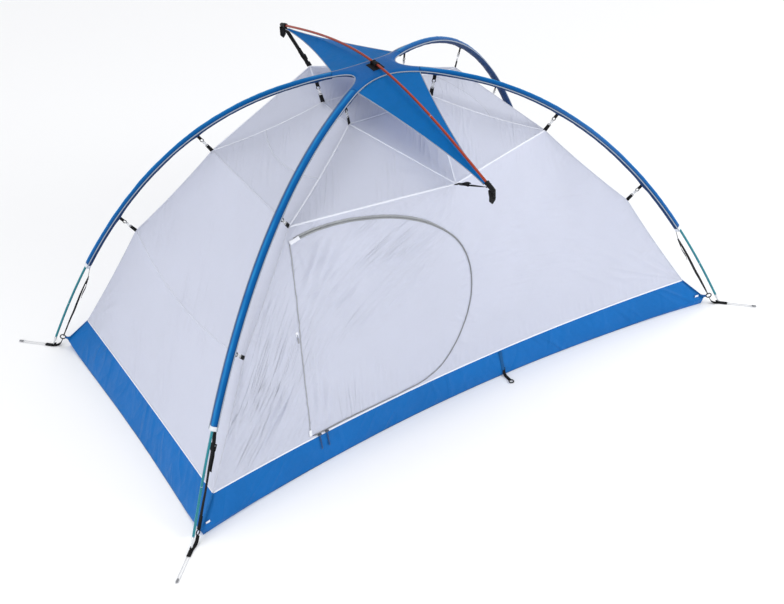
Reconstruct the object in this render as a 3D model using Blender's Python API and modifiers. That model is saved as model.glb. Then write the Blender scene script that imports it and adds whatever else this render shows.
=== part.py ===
"""Dome tent: two crossed poles in sleeves, a ridge pole with wings, and a clip-hung canopy on a tub floor.

Metres, +Z up, +X along the tent's length. The door is on the -Y side. The origin is on the ground,
under the crossing of the poles.
"""

import math

import bmesh
import bpy
import numpy as np
from mathutils import Matrix, Vector

GAP = 0.0003  # kept between pieces that touch
CLOTH = 0.0014  # thickness of every fabric sheet
WEBBING = 0.0016  # thickness of a webbing strap

LEGS = {
    "front_left": (-1, -1),
    "front_right": (1, -1),
    "back_left": (-1, 1),
    "back_right": (1, 1),
}

# Main poles, in the vertical plane through a diagonal: r is the distance from the middle.
TIP_X = 1.1516
TIP_Y = 0.6309
TIP_R = math.hypot(TIP_X, TIP_Y)
TIP_Z = 0.0055
POLE_RADIUS = 0.0045
TIP_RADIUS = 0.0030
CROWN_Z = 1.1255
POLE_STACK = 0.0049  # each pole's centre above or below the crown, where they cross
CROWN_HANDLE_R = 0.6715
CROWN_STEP = 0.08  # the part of the arch near the crossing that gets closer points
LEG_HANDLE = (1.0434, 0.5868)

# Sleeves and hub.
SLEEVE_START_R = 0.152
SLEEVE_END_R = 1.120
SLEEVE_HALF_WIDTH = 0.0195
SLEEVE_TOP = 0.0080
SLEEVE_BELOW = 0.0120
HUB_ARM_R = 0.1505
HUB_WAIST = 0.030
FILLET_POINTS = 7  # along each concave side of the hub web

# Ridge pole, in the plane x = 0, bent down by the straps at its ends.
RIDGE_CROWN_Z = 1.1500
RIDGE_DROP = 0.139
RIDGE_HALF = 0.694
CAP_INNER_Y = 0.662
CAP_OUTER_Y = 0.706
CAP_RADIUS = 0.0080
TAB_HALF_WIDTH = 0.012
TAB_LENGTH = 0.048
WING_END_Y = 0.655
WING_END_DROP = 0.0125  # below the ridge pole's centre
STRAP_TOP_Y = 0.672
STRAP_TOP_DROP = 0.0105

# Canopy corners on the front-right leg's side, mirrored to the others.
CLIP_NAMES = ("top", "middle", "low")
SLEEVE_CLIP_R = (0.2073, 0.6460, 0.9740)
CANOPY_CLIPS = (
    Vector((0.1649, 0.0904, 1.012)),
    Vector((0.5198, 0.2848, 0.843)),
    Vector((0.7988, 0.4376, 0.521)),
)
TUB_TOP_CORNER = Vector((1.019, 0.550, 0.120))
PEAK = Vector((0.0, 0.490, 0.923))
EDGE_SAG = 0.012  # how far a canopy edge curves inwards between two clips
SEAM = 0.004  # each panel stops this far short of a seam

# Tub floor.
FLOOR_CORNER = Vector((1.100, 0.598, 0.030))
TUB_MID_Y = 0.497
TUB_MID_X = 1.086
TUB_TOP_MID_Y = 0.488
TUB_TOP_MID_X = 1.016

# Door, drawn in the XZ plane and carried onto the front wall.
HINGE_LOW = (-0.624, 0.129)
HINGE_HIGH = (-0.535, 0.795)
HINGE_PROUD = 0.006  # the hinge line lies this far outside the wall
DOOR_OUTLINE = (
    (-0.425, 0.826),
    (-0.310, 0.838),
    (-0.190, 0.826),
    (-0.085, 0.780),
    (0.012, 0.685),
    (0.066, 0.560),
    (0.070, 0.430),
    (0.028, 0.300),
    (-0.050, 0.185),
    (-0.135, 0.140),
    (-0.240, 0.1295),
    (-0.430, 0.1290),
)
TAPE_WIDTH = 0.0060
SLIDER_X = (-0.560, -0.590)
SLIDER_SIZE = (0.015, 0.0042, 0.0085)
PULL_DROP = 0.0059  # from the slider's centre to the pull's pivot
PULL_LENGTH = 0.054
PULL_LEAN = 0.20  # the pulls lie against the sloping tub wall
TOGGLE_AT = (-0.586, 0.475)

# Corner rigging.
RING_R = 1.2690
RING_Z = 0.041
STRAP_LOW = (1.2648, 0.0490)  # where the strap meets the ring: r and z
BUCKLE_R = 1.122
BUCKLE_Z = 0.325
GUY_TURN = math.radians(45.0)  # direction of the corner cords from +X
GUY_TAB = 0.030
GUY_REACH = 0.147
GUY_RADIUS = 0.0011

COLOURS = {
    "main_pole": ((0.020, 0.170, 0.220), 0.30, 0.9),
    "ridge_pole": ((0.620, 0.085, 0.020), 0.30, 0.9),
    "blue_fabric": ((0.012, 0.150, 0.420), 0.60, 0.0),
    "tub_fabric": ((0.008, 0.165, 0.460), 0.55, 0.0),
    "canopy_fabric": ((0.700, 0.730, 0.820), 0.70, 0.0),
    "webbing": ((0.010, 0.010, 0.012), 0.80, 0.0),
    "black_plastic": ((0.012, 0.012, 0.014), 0.45, 0.0),
    "clip_plastic": ((0.030, 0.030, 0.034), 0.45, 0.0),
    "zip_tape": ((0.400, 0.410, 0.440), 0.75, 0.0),
    "slider_metal": ((0.080, 0.090, 0.110), 0.40, 0.8),
    "pull_cord": ((0.010, 0.060, 0.200), 0.75, 0.0),
    "guy_cord": ((0.750, 0.760, 0.780), 0.70, 0.0),
    "toggle_plastic": ((0.300, 0.310, 0.330), 0.50, 0.0),
}


# ---------------------------------------------------------------- scene and materials


def clear_scene():
    for obj in list(bpy.data.objects):
        bpy.data.objects.remove(obj, do_unlink=True)


def new_collection(name):
    collection = bpy.data.collections.new(name)
    bpy.context.scene.collection.children.link(collection)
    return collection


def material(name):
    colour, roughness, metallic = COLOURS[name]
    made = bpy.data.materials.get(name)
    if made is None:
        made = bpy.data.materials.new(name)
        made.use_nodes = True
        shader = made.node_tree.nodes["Principled BSDF"]
        shader.inputs["Base Color"].default_value = (*colour, 1.0)
        shader.inputs["Roughness"].default_value = roughness
        shader.inputs["Metallic"].default_value = metallic
    return made


def add_object(name, mesh, colour, collection=None):
    obj = bpy.data.objects.new(name, mesh)
    (collection or PARTS).objects.link(obj)
    if colour:
        mesh.materials.append(material(colour))
    return obj


def evaluated_mesh(obj):
    """The object's mesh with its modifiers, welded."""
    graph = bpy.context.evaluated_depsgraph_get()
    mesh = bpy.data.meshes.new_from_object(obj.evaluated_get(graph))
    work = bmesh.new()
    work.from_mesh(mesh)
    bmesh.ops.remove_doubles(work, verts=work.verts, dist=0.00001)
    bmesh.ops.recalc_face_normals(work, faces=work.faces)
    work.to_mesh(mesh)
    work.free()
    return mesh


def baked(obj):
    """Replaces the object's mesh or curve by its evaluated mesh."""
    bpy.context.view_layer.update()
    mesh = evaluated_mesh(obj)
    name = obj.name
    matrix = obj.matrix_world.copy()
    collection = obj.users_collection[0]
    bpy.data.objects.remove(obj, do_unlink=True)
    made = bpy.data.objects.new(name, mesh)
    made.matrix_world = matrix
    collection.objects.link(made)
    return made


def boolean(obj, other, operation):
    modifier = obj.modifiers.new(operation.lower(), "BOOLEAN")
    modifier.operation = operation
    modifier.solver = "EXACT"
    modifier.object = other


def joined(name, colour, pieces):
    """One body from several overlapping solids."""
    for other in pieces[1:]:
        boolean(pieces[0], other, "UNION")
    whole = baked(pieces[0])
    for other in pieces[1:]:
        bpy.data.objects.remove(other, do_unlink=True)
    whole.name = name
    whole.data.name = name
    whole.data.materials.clear()
    whole.data.materials.append(material(colour))
    return whole


def move_origin(obj, point):
    """Puts the object's origin at a point without moving its surface."""
    obj.data.transform(Matrix.Translation(-Vector(point)))
    obj.location = Vector(point)


# ---------------------------------------------------------------- shapes


def lattice(name, rows, colour, closed=False, collection=None):
    """An open surface through rows of points; closed joins each row's last point to its first."""
    work = bmesh.new()
    lines = [[work.verts.new(point) for point in row] for row in rows]
    count = len(lines[0])
    across = count if closed else count - 1
    for low, high in zip(lines, lines[1:]):
        for k in range(across):
            after = (k + 1) % count
            work.faces.new((low[k], low[after], high[after], high[k]))
    bmesh.ops.recalc_face_normals(work, faces=work.faces)
    mesh = bpy.data.meshes.new(name)
    work.to_mesh(mesh)
    work.free()
    mesh.shade_smooth()
    return add_object(name, mesh, colour, collection)


def thicken(obj, thickness, offset=0.0):
    modifier = obj.modifiers.new("thickness", "SOLIDIFY")
    modifier.thickness = thickness
    modifier.offset = offset
    return obj


def sheet(name, rows, colour, thickness=CLOTH, closed=False, collection=None):
    return thicken(lattice(name, rows, colour, closed, collection), thickness)


def ribbon(name, path, side, width, colour, thickness=WEBBING, collection=None):
    """A flat strap along a path; side is the direction of its width."""
    half = Vector(side).normalized() * width / 2
    rows = [[point - half, point, point + half] for point in map(Vector, path)]
    return sheet(name, rows, colour, thickness, collection=collection)


def tube(name, path, radius, colour, radii=None, smoothness=2, collection=None):
    """A round bar along a path, as a bevelled curve with filled caps."""
    curve = bpy.data.curves.new(name, "CURVE")
    curve.dimensions = "3D"
    curve.bevel_depth = radius
    curve.bevel_resolution = smoothness
    curve.use_fill_caps = True
    spline = curve.splines.new("POLY")
    spline.points.add(len(path) - 1)
    for k, point in enumerate(path):
        spline.points[k].co = (*point, 1.0)
        spline.points[k].radius = radii[k] if radii else 1.0
    return baked_tube(name, curve, colour, collection)


def baked_tube(name, curve, colour, collection):
    obj = bpy.data.objects.new(name, curve)
    (collection or PARTS).objects.link(obj)
    whole = baked(obj)
    whole.name = name
    whole.data.name = name
    whole.data.materials.append(material(colour))
    whole.data.shade_smooth()
    return whole


def plate(name, outline, thickness, matrix, colour, holes=(), collection=None):
    """A flat plate from an outline in its own XY plane, with holes, put in place by a matrix."""
    curve = bpy.data.curves.new(name, "CURVE")
    curve.dimensions = "2D"
    curve.fill_mode = "BOTH"
    curve.extrude = thickness / 2
    for points in (outline, *holes):
        spline = curve.splines.new("POLY")
        spline.points.add(len(points) - 1)
        for k, (x, y) in enumerate(points):
            spline.points[k].co = (x, y, 0.0, 1.0)
        spline.use_cyclic_u = True
    obj = bpy.data.objects.new(name, curve)
    (collection or PARTS).objects.link(obj)
    whole = baked(obj)
    whole.name = name
    whole.data.name = name
    whole.data.transform(matrix)
    whole.data.materials.append(material(colour))
    return whole


def box(name, size, matrix, colour, bevel=0.0, collection=None):
    work = bmesh.new()
    bmesh.ops.create_cube(work, size=1.0)
    bmesh.ops.scale(work, vec=size, verts=work.verts)
    if bevel:
        bmesh.ops.bevel(work, geom=work.edges, offset=bevel, segments=1, affect="EDGES")
    mesh = bpy.data.meshes.new(name)
    work.to_mesh(mesh)
    work.free()
    mesh.transform(matrix)
    return add_object(name, mesh, colour, collection)


def ring(name, radius, wire, matrix, colour, turns=16, collection=None):
    """A round ring in its own XY plane, put in place by a matrix."""
    rows = []
    for k in range(turns + 1):
        angle = math.tau * k / turns
        outwards = Vector((math.cos(angle), math.sin(angle), 0.0))
        rows.append(
            [
                outwards * (radius + wire * math.cos(math.tau * j / 6))
                + Vector((0.0, 0.0, wire * math.sin(math.tau * j / 6)))
                for j in range(6)
            ]
        )
    obj = lattice(name, rows, colour, closed=True, collection=collection)
    work = bmesh.new()
    work.from_mesh(obj.data)
    bmesh.ops.remove_doubles(work, verts=work.verts, dist=0.00001)
    bmesh.ops.recalc_face_normals(work, faces=work.faces)
    work.to_mesh(obj.data)
    work.free()
    obj.data.transform(matrix)
    return obj


def arc(centre, radius, start, end, steps):
    """Points of a circular arc in a plane; angles in degrees."""
    angles = np.radians(np.linspace(start, end, steps))
    return [(centre[0] + radius * math.cos(a), centre[1] + radius * math.sin(a)) for a in angles]


def smooth_line(points, steps):
    """Points along a smooth curve through the given ones."""
    points = [Vector(p) for p in points]
    ends = [2 * points[0] - points[1], *points, 2 * points[-1] - points[-2]]
    line = []
    for before, a, b, after in zip(ends, ends[1:], ends[2:], ends[3:]):
        for t in np.arange(steps) / steps:
            line.append(
                0.5 * (2 * a + (b - before) * t + (2 * before - 5 * a + 4 * b - after) * t**2)
                + 0.5 * (3 * a - 3 * b + after - before) * t**3
            )
    line.append(points[-1])
    return line


def frame_matrix(origin, x_axis, y_axis):
    """A matrix that carries the XY plane onto the plane of two directions through a point."""
    x_axis = Vector(x_axis).normalized()
    z_axis = x_axis.cross(Vector(y_axis)).normalized()
    y_axis = z_axis.cross(x_axis)
    turn = Matrix((x_axis, y_axis, z_axis)).transposed().to_4x4()
    return Matrix.Translation(origin) @ turn


# ---------------------------------------------------------------- where things are


def leg_directions(leg):
    """Unit vectors outwards along the leg's plan diagonal and across it."""
    sx, sy = LEGS[leg]
    outwards = Vector((sx * TIP_X, sy * TIP_Y, 0.0)) / TIP_R
    return outwards, outwards.cross(Vector((0.0, 0.0, 1.0)))


def arch_points(steps):
    """(r, z) along half of a main pole's arch, from the crossing to the tip."""
    t = np.array(steps)[:, None]
    crown = np.array((0.0, CROWN_Z))
    handle = np.array((CROWN_HANDLE_R, CROWN_Z))
    leg = np.array(LEG_HANDLE)
    tip = np.array((TIP_R, TIP_Z))
    return (1 - t) ** 3 * crown + 3 * t * (1 - t) ** 2 * handle + 3 * t**2 * (1 - t) * leg + t**3 * tip


ARCH = arch_points(np.linspace(0.0, 1.0, 400))


def crossing_bump(r):
    """1 at the crossing, falling smoothly to 0 at the ends of the hub's arms."""
    return (1 - min(abs(r) / HUB_ARM_R, 1.0) ** 2) ** 2


def arch_z(r):
    return float(np.interp(r, ARCH[:, 0], ARCH[:, 1]))


def leg_station(leg, r):
    """On the pole's centre line: the point, the direction down the leg, and the outward normal."""
    outwards, _ = leg_directions(leg)
    step = 0.004
    slope = (arch_z(r + step) - arch_z(r - step)) / (2 * step)
    r = float(r)
    down = (outwards + Vector((0.0, 0.0, slope))).normalized()
    normal = (Vector((0.0, 0.0, 1.0)) - slope * outwards).normalized()
    return outwards * r + Vector((0.0, 0.0, arch_z(r))), down, normal


def mirrored(point, leg):
    sx, sy = LEGS[leg]
    return Vector((sx * point.x, sy * point.y, point.z))


def sagged(a, b, count, sag, inwards):
    """Points from a to b, curved by sag towards a direction."""
    return [a.lerp(b, t) + inwards * (4 * sag * t * (1 - t)) for t in np.linspace(0.0, 1.0, count)]


def leg_edge(leg, count=4):
    """The canopy's edge up a leg, from the tub's corner to the middle clip."""
    outwards, _ = leg_directions(leg)
    inwards = (-outwards - Vector((0.0, 0.0, 0.6))).normalized()
    corner, low, middle = (mirrored(p, leg) for p in (TUB_TOP_CORNER, CANOPY_CLIPS[2], CANOPY_CLIPS[1]))
    return sagged(corner, low, count, EDGE_SAG, inwards) + sagged(low, middle, count, EDGE_SAG, inwards)[1:]


def roof_edge(side, count=4):
    """The roof's edge on one side, from the left middle clip over both top clips to the right one."""
    left, right = ("front_left", "front_right") if side < 0 else ("back_left", "back_right")
    down = Vector((0.0, 0.0, -1.0))
    stops = [
        mirrored(CANOPY_CLIPS[1], left),
        mirrored(CANOPY_CLIPS[0], left),
        mirrored(CANOPY_CLIPS[0], right),
        mirrored(CANOPY_CLIPS[1], right),
    ]
    line = [stops[0]]
    for a, b, sag in zip(stops, stops[1:], (EDGE_SAG, EDGE_SAG / 2, EDGE_SAG)):
        line += sagged(a, b, count, sag, down)[1:]
    return line


def peak(side):
    return Vector((PEAK.x, side * PEAK.y, PEAK.z))


def wall_edge(side):
    """The long wall's upper edge: up a leg, along the seam to the peak, and down to the other leg."""
    left, right = ("front_left", "front_right") if side < 0 else ("back_left", "back_right")
    up = leg_edge(left)
    seam = sagged(up[-1], peak(side), 5, 0.0, Vector((0.0, 0.0, 0.0)))
    half = up + seam[1:]
    other = [Vector((-p.x, p.y, p.z)) for p in reversed(half[:-1])]
    return half + other


def tub_top_y(x):
    """Half width of the tub's top edge along the long sides."""
    return TUB_TOP_MID_Y + (TUB_TOP_CORNER.y - TUB_TOP_MID_Y) * (x / TUB_TOP_CORNER.x) ** 2


WALL_EDGE = wall_edge(-1)
WALL_LIFT = 0.0015  # the canopy starts this far above the tub


def front_wall_point(x, z):
    """The point of the front wall's middle surface at a place in its XZ outline."""
    xs = [p.x for p in WALL_EDGE]
    low_y = -tub_top_y(x)
    low_z = TUB_TOP_CORNER.z
    high_y = np.interp(x, xs, [p.y for p in WALL_EDGE])
    high_z = np.interp(x, xs, [p.z for p in WALL_EDGE])
    return Vector((x, low_y + (high_y - low_y) * (z - low_z) / (high_z - low_z), z))


# ---------------------------------------------------------------- poles


def main_pole(name, left, right, lift):
    near_crown = np.linspace(0.0, CROWN_STEP, 6)
    half = arch_points([*near_crown, *np.linspace(CROWN_STEP, 1.0, 19)[1:]])
    half[:, 1] += [lift * crossing_bump(r) for r in half[:, 0]]
    radii = [1.0] * (len(half) - 1) + [TIP_RADIUS / POLE_RADIUS]
    a, _ = leg_directions(left)
    b, _ = leg_directions(right)
    path = [a * float(r) + Vector((0.0, 0.0, z)) for r, z in half[::-1]]
    path += [b * float(r) + Vector((0.0, 0.0, z)) for r, z in half[1:]]
    tube(name, path, POLE_RADIUS, "main_pole", radii[::-1] + radii[1:])


def ridge_z(y):
    s = min(abs(y) / RIDGE_HALF, 1.02)
    return RIDGE_CROWN_Z - RIDGE_DROP * (3 * s**2 - s**3) / 2


def ridge_pole():
    path = [Vector((0.0, y, ridge_z(y))) for y in np.linspace(-RIDGE_HALF, RIDGE_HALF, 19)]
    tube("ridge_pole", path, POLE_RADIUS, "ridge_pole")


def ridge_cap(name, side):
    """A moulded cap over the ridge pole's end, with a pointed tab hanging from it and a small ring."""
    near = Vector((0.0, side * CAP_INNER_Y, ridge_z(CAP_INNER_Y)))
    far = Vector((0.0, side * CAP_OUTER_Y, ridge_z(CAP_OUTER_Y)))
    along = (far - near).normalized()
    shell = tube(name, [near, near.lerp(far, 0.8), far], CAP_RADIUS, "black_plastic", [1.0, 1.0, 0.8])
    bore_end = Vector((0.0, side * (RIDGE_HALF + 0.002), ridge_z(RIDGE_HALF + 0.002)))
    bore = tube(name + "_bore", [near - along * 0.01, bore_end], POLE_RADIUS + 0.0004, "black_plastic")
    boolean(shell, bore, "DIFFERENCE")
    shell = baked(shell)
    bpy.data.objects.remove(bore, do_unlink=True)
    hang = Vector((0.0, side * RIDGE_HALF, ridge_z(RIDGE_HALF) - CAP_RADIUS + 0.0015))
    shoulder = -0.75 * TAB_LENGTH
    outline = [
        (-TAB_HALF_WIDTH, 0.0),
        (-TAB_HALF_WIDTH, shoulder),
        (0.0, -TAB_LENGTH),
        (TAB_HALF_WIDTH, shoulder),
        (TAB_HALF_WIDTH, 0.0),
    ]
    tab = plate(name + "_tab", outline, 0.0030, frame_matrix(hang, (1, 0, 0), (0, 0, 1)), "black_plastic")
    eye = ring(
        name + "_ring",
        0.0065,
        0.0016,
        frame_matrix(far + along * 0.0045, (0, side, 0), (0, 0, 1)),
        "black_plastic",
        12,
    )
    joined(name, "black_plastic", [shell, tab, eye])


# ---------------------------------------------------------------- sleeves, hub and wings


def sleeve(name, leg):
    """A flattened fabric tunnel with a sharp edge along each side, open at both ends."""
    _, across = leg_directions(leg)
    rows = []
    for r in np.linspace(SLEEVE_START_R, SLEEVE_END_R, 14):
        centre, _, normal = leg_station(leg, r)
        row = []
        for x in (-1.0, -0.6, 0.0, 0.6):
            row.append(centre + across * x * SLEEVE_HALF_WIDTH + normal * SLEEVE_TOP * (1 - x * x))
        for x in (1.0, 0.6, 0.0, -0.6):
            row.append(centre + across * x * SLEEVE_HALF_WIDTH - normal * SLEEVE_BELOW * (1 - x * x))
        rows.append(row)
    obj = lattice(name, rows, "blue_fabric", closed=True)
    thicken(obj, 0.0012, -1.0)


def hub_outline(margin=0.0):
    """The hub web's star outline in plan: four arm ends joined by concave curves."""
    outline = []
    for leg, following in (
        ("front_right", "back_right"),
        ("back_right", "back_left"),
        ("back_left", "front_left"),
        ("front_left", "front_right"),
    ):
        outwards, across = leg_directions(leg)
        after, after_across = leg_directions(following)
        reach = HUB_ARM_R + margin
        half = SLEEVE_HALF_WIDTH + margin
        start = outwards * reach + across * half * (1 if across.dot(after) > 0 else -1)
        end = after * reach + after_across * half * (1 if after_across.dot(outwards) > 0 else -1)
        middle = (outwards + after).normalized() * (HUB_WAIST + margin)
        for t in np.linspace(0.0, 1.0, FILLET_POINTS):
            outline.append(start * (1 - t) ** 2 + middle * 2 * t * (1 - t) + end * t**2)
    return outline


def hub_z(point):
    r = math.hypot(point.x, point.y)
    return arch_z(r) + SLEEVE_TOP + POLE_STACK * crossing_bump(r)


def hub_web():
    outline = hub_outline()
    rows = [[p * f for p in outline] for f in (1.0, 0.75, 0.5, 0.25)]
    rows = [[Vector((p.x, p.y, hub_z(p))) for p in row] for row in rows]
    obj = lattice("hub_web", rows, "blue_fabric", closed=True)
    work = bmesh.new()
    work.from_mesh(obj.data)
    rim = [e for e in work.edges if e.is_boundary and max(v.co.xy.length for v in e.verts) < 0.035]
    bmesh.ops.contextual_create(work, geom=rim)
    bmesh.ops.recalc_face_normals(work, faces=work.faces)
    work.to_mesh(obj.data)
    work.free()
    thicken(obj, 0.0012)


def hub_keeper():
    """The black saddle that holds the ridge pole on the hub."""
    base_z = hub_z(Vector((0.0, 0.0, 0.0))) + 0.0006 + GAP
    height = RIDGE_CROWN_Z + 0.0070 - base_z
    place = Matrix.Translation((0.0, 0.0, base_z + height / 2))
    block = box("hub_keeper", (0.024, 0.028, height), place, "black_plastic", 0.002)
    path = [Vector((0.0, y, RIDGE_CROWN_Z)) for y in (-0.03, 0.03)]
    bore = tube("hub_keeper_bore", path, POLE_RADIUS + 0.0007, "black_plastic", collection=CUTTERS)
    boolean(block, bore, "DIFFERENCE")
    bore.hide_render = True
    bore.display_type = "WIRE"


def wing(name, side):
    """A concave-sided triangle from the hub's waist to the ridge pole's end."""
    first = FILLET_POINTS * (3 if side < 0 else 1)
    base = hub_outline(0.0016)[first : first + FILLET_POINTS]
    apex_y = side * WING_END_Y
    apex_z = ridge_z(WING_END_Y) - WING_END_DROP
    rows = []
    for v in np.linspace(0.0, 1.0, 10):
        narrow = (1 - v) ** 1.45
        row = []
        for k, p in enumerate(base):
            u = 2 * k / (FILLET_POINTS - 1) - 1
            x = p.x * narrow + (1 - narrow) * 0.006 * math.copysign(abs(u), p.x)
            y = p.y + (apex_y - p.y) * v
            crease = 0.010 * (1 - abs(u)) * math.sin(math.pi * v)
            z = hub_z(p) + (apex_z - hub_z(p)) * v + crease
            row.append(Vector((x, y, z)))
        rows.append(row)
    sheet(name, rows, "blue_fabric", 0.0012)


def ridge_strap_ends(side):
    start = Vector((0.0, side * STRAP_TOP_Y, ridge_z(STRAP_TOP_Y) - STRAP_TOP_DROP))
    return start, peak(side) + Vector((0.0, side * 0.006, 0.001))


def ridge_strap(name, side):
    """Webbing from under the ridge cap to the canopy's peak."""
    start, end = ridge_strap_ends(side)
    ribbon(name, [start, start.lerp(end, 0.5), end], (1, 0, 0), 0.014, "webbing")


def ladder_lock(name, centre, along, across, width, colour="black_plastic"):
    """A ladder-lock buckle: a plate with two slots."""
    half = width / 2
    outline = [(-0.014, -half), (0.014, -half * 0.8), (0.014, half * 0.8), (-0.014, half)]
    holes = [
        [(x, -half * 0.55), (x + 0.005, -half * 0.55), (x + 0.005, half * 0.55), (x, half * 0.55)]
        for x in (-0.0095, 0.0035)
    ]
    return plate(name, outline, 0.0036, frame_matrix(centre, along, across), colour, holes)


def ridge_buckle(name, side):
    start, end = ridge_strap_ends(side)
    along = (end - start).normalized()
    normal = Vector((1, 0, 0)).cross(along).normalized()
    normal *= 1 if normal.z > 0 else -1
    centre = start.lerp(end, 0.80) + normal * (WEBBING / 2 + 0.0018 + GAP)
    ladder_lock(name, centre, along, (1, 0, 0), 0.022)


# ---------------------------------------------------------------- clips


def clip(name, leg, index):
    """A hanging clip: a sewn tab, a ring, a link and a tapered tab on the canopy."""
    r = SLEEVE_CLIP_R[index]
    outwards, across = leg_directions(leg)
    centre, down, normal = leg_station(leg, r)
    top = centre - normal * (SLEEVE_BELOW + 0.001)
    bottom = mirrored(CANOPY_CLIPS[index], leg)
    hang = (bottom - top).normalized()
    width = 0.0065
    top += hang * width * math.tan(hang.angle(-normal))
    bottom = bottom - hang * 0.003
    length = (bottom - top).length
    ring_at = 0.026
    link_end = ring_at + 0.026
    outer = [(0.0, -width), (0.017, -width), (0.019, -0.003)]
    outer += arc((ring_at, 0.0), 0.0075, 205, 335, 6)
    outer += [(link_end - 0.006, -0.003), (link_end, -0.005), (length, -0.009)]
    outer += [(x, -y) for x, y in reversed(outer)]
    hole = arc((ring_at, 0.0), 0.0042, 0, 315, 8)
    place = frame_matrix(top, hang, across.cross(hang))
    plate(name, outer, 0.0030, place, "clip_plastic", [hole])


# ---------------------------------------------------------------- canopy


def ruled(low, high, steps, margin):
    """Rows of points from one edge to another, stopping short of both by a margin."""
    rows = []
    for t in np.linspace(0.0, 1.0, steps):
        row = []
        for a, b in zip(low, high):
            inset = min(margin / (b - a).length, 0.45)
            row.append(a.lerp(b, inset + (1 - 2 * inset) * t))
        rows.append(row)
    return rows


def trimmed(edge, margin):
    """An edge line with both ends cut back by a margin."""
    first = edge[0].lerp(edge[1], margin / (edge[1] - edge[0]).length)
    last = edge[-1].lerp(edge[-2], margin / (edge[-2] - edge[-1]).length)
    return [first, *edge[1:-1], last]


def long_wall(name, side):
    edge = trimmed(WALL_EDGE, 0.012)
    high = [Vector((p.x, -side * p.y, p.z - SEAM)) for p in edge]
    low = [Vector((p.x, side * tub_top_y(p.x), TUB_TOP_CORNER.z + WALL_LIFT)) for p in edge]
    rows = ruled(low, high, 5, 0.0001)
    return thicken(lattice(name, rows, "canopy_fabric"), CLOTH)


def end_wall(name, side):
    front, back = ("front_left", "back_left") if side < 0 else ("front_right", "back_right")
    low = trimmed(leg_edge(front), 0.004)
    high = trimmed(leg_edge(back), 0.004)
    rows = ruled(low, high, 7, SEAM)
    for row in rows:
        row[0].z = TUB_TOP_CORNER.z + WALL_LIFT
    thicken(lattice(name, rows, "canopy_fabric"), CLOTH)


def roof():
    low = trimmed(roof_edge(-1), SEAM)
    high = trimmed(roof_edge(1), SEAM)
    thicken(lattice("canopy_roof", ruled(low, high, 7, SEAM), "canopy_fabric"), CLOTH)


def eave(name, side):
    """The three facets between the roof's edge and the peak, as one curved panel."""
    edge = trimmed(roof_edge(side), 2 * SEAM)
    top = peak(side) + Vector((0.0, -side * 0.009, 0.004))
    rows = []
    for t in np.linspace(0.05, 0.985, 5):
        rows.append([top.lerp(p, t) for p in edge])
    thicken(lattice(name, rows, "canopy_fabric"), CLOTH)


# ---------------------------------------------------------------- tub floor


def tub_perimeter(corner, mid_x, mid_y, mid_z, steps=9):
    """Points round the tub: sides bowed inwards between the corners."""
    points = []
    for start, end in ((0, 1), (1, 2), (2, 3), (3, 0)):
        signs = ((1, -1), (1, 1), (-1, 1), (-1, -1))
        a, b = signs[start], signs[end]
        for t in np.linspace(-1.0, 1.0, steps)[:-1]:
            bow = 1 - t * t
            mix = (t + 1) / 2
            x = a[0] * corner.x * (1 - mix) + b[0] * corner.x * mix
            y = a[1] * corner.y * (1 - mix) + b[1] * corner.y * mix
            if a[0] == b[0]:
                x -= a[0] * (corner.x - mid_x) * bow
            else:
                y -= a[1] * (corner.y - mid_y) * bow
            z = mid_z + (corner.z - mid_z) * abs(t) ** 8
            points.append(Vector((x, y, z)))
    return points


def tub_floor():
    half = CLOTH / 2
    outer = tub_perimeter(FLOOR_CORNER, TUB_MID_X, TUB_MID_Y, half)
    top = tub_perimeter(TUB_TOP_CORNER, TUB_TOP_MID_X, TUB_TOP_MID_Y, TUB_TOP_CORNER.z)
    middle = [a.lerp(b, 0.5) for a, b in zip(outer, top)]
    rows = [top, middle, outer]
    for shrink in (0.93, 0.5):
        rows.append([Vector((p.x * shrink, p.y * shrink, half)) for p in outer])
    obj = lattice("tub_floor", rows, "tub_fabric", closed=True)
    work = bmesh.new()
    work.from_mesh(obj.data)
    rim = [e for e in work.edges if e.is_boundary and max(v.co.z for v in e.verts) < 0.01]
    bmesh.ops.contextual_create(work, geom=rim)
    bmesh.ops.recalc_face_normals(work, faces=work.faces)
    work.to_mesh(obj.data)
    work.free()
    thicken(obj, CLOTH)


def stake_loop(name, side):
    """A webbing loop that lies on the ground at the middle of a long side."""
    x = -side * 0.20
    y = side * (TUB_MID_Y + 0.004)
    path = [
        Vector((x, y, 0.032)),
        Vector((x, y + side * 0.002, 0.012)),
        Vector((x, y + side * 0.010, 0.0018)),
        Vector((x, y + side * 0.040, 0.0010)),
    ]
    strap = ribbon(name, path, (1, 0, 0), 0.012, "webbing")
    end = path[-1] + Vector((0.0, side * 0.009, 0.0012))
    eye = ring(name + "_eye", 0.0085, 0.0020, frame_matrix(end, (1, 0, 0), (0, 1, 0)), "webbing", 12)
    joined(name, "webbing", [baked(strap), eye])


# ---------------------------------------------------------------- door and zip


def door_line(steps=3):
    """The zip's line in the XZ plane, from the top of the hinge round to its bottom."""
    points = [(*HINGE_HIGH, 0.0), *((x, z, 0.0) for x, z in DOOR_OUTLINE), (*HINGE_LOW, 0.0)]
    return smooth_line(points, steps)


def offset_line(line, distance):
    """A line moved sideways in its plane; positive is outwards from the door."""
    moved = []
    for k, p in enumerate(line):
        before = line[max(k - 1, 0)]
        after = line[min(k + 1, len(line) - 1)]
        along = (after - before).normalized()
        moved.append(p + Vector((-along.y, along.x, 0.0)) * distance)
    return moved


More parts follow.
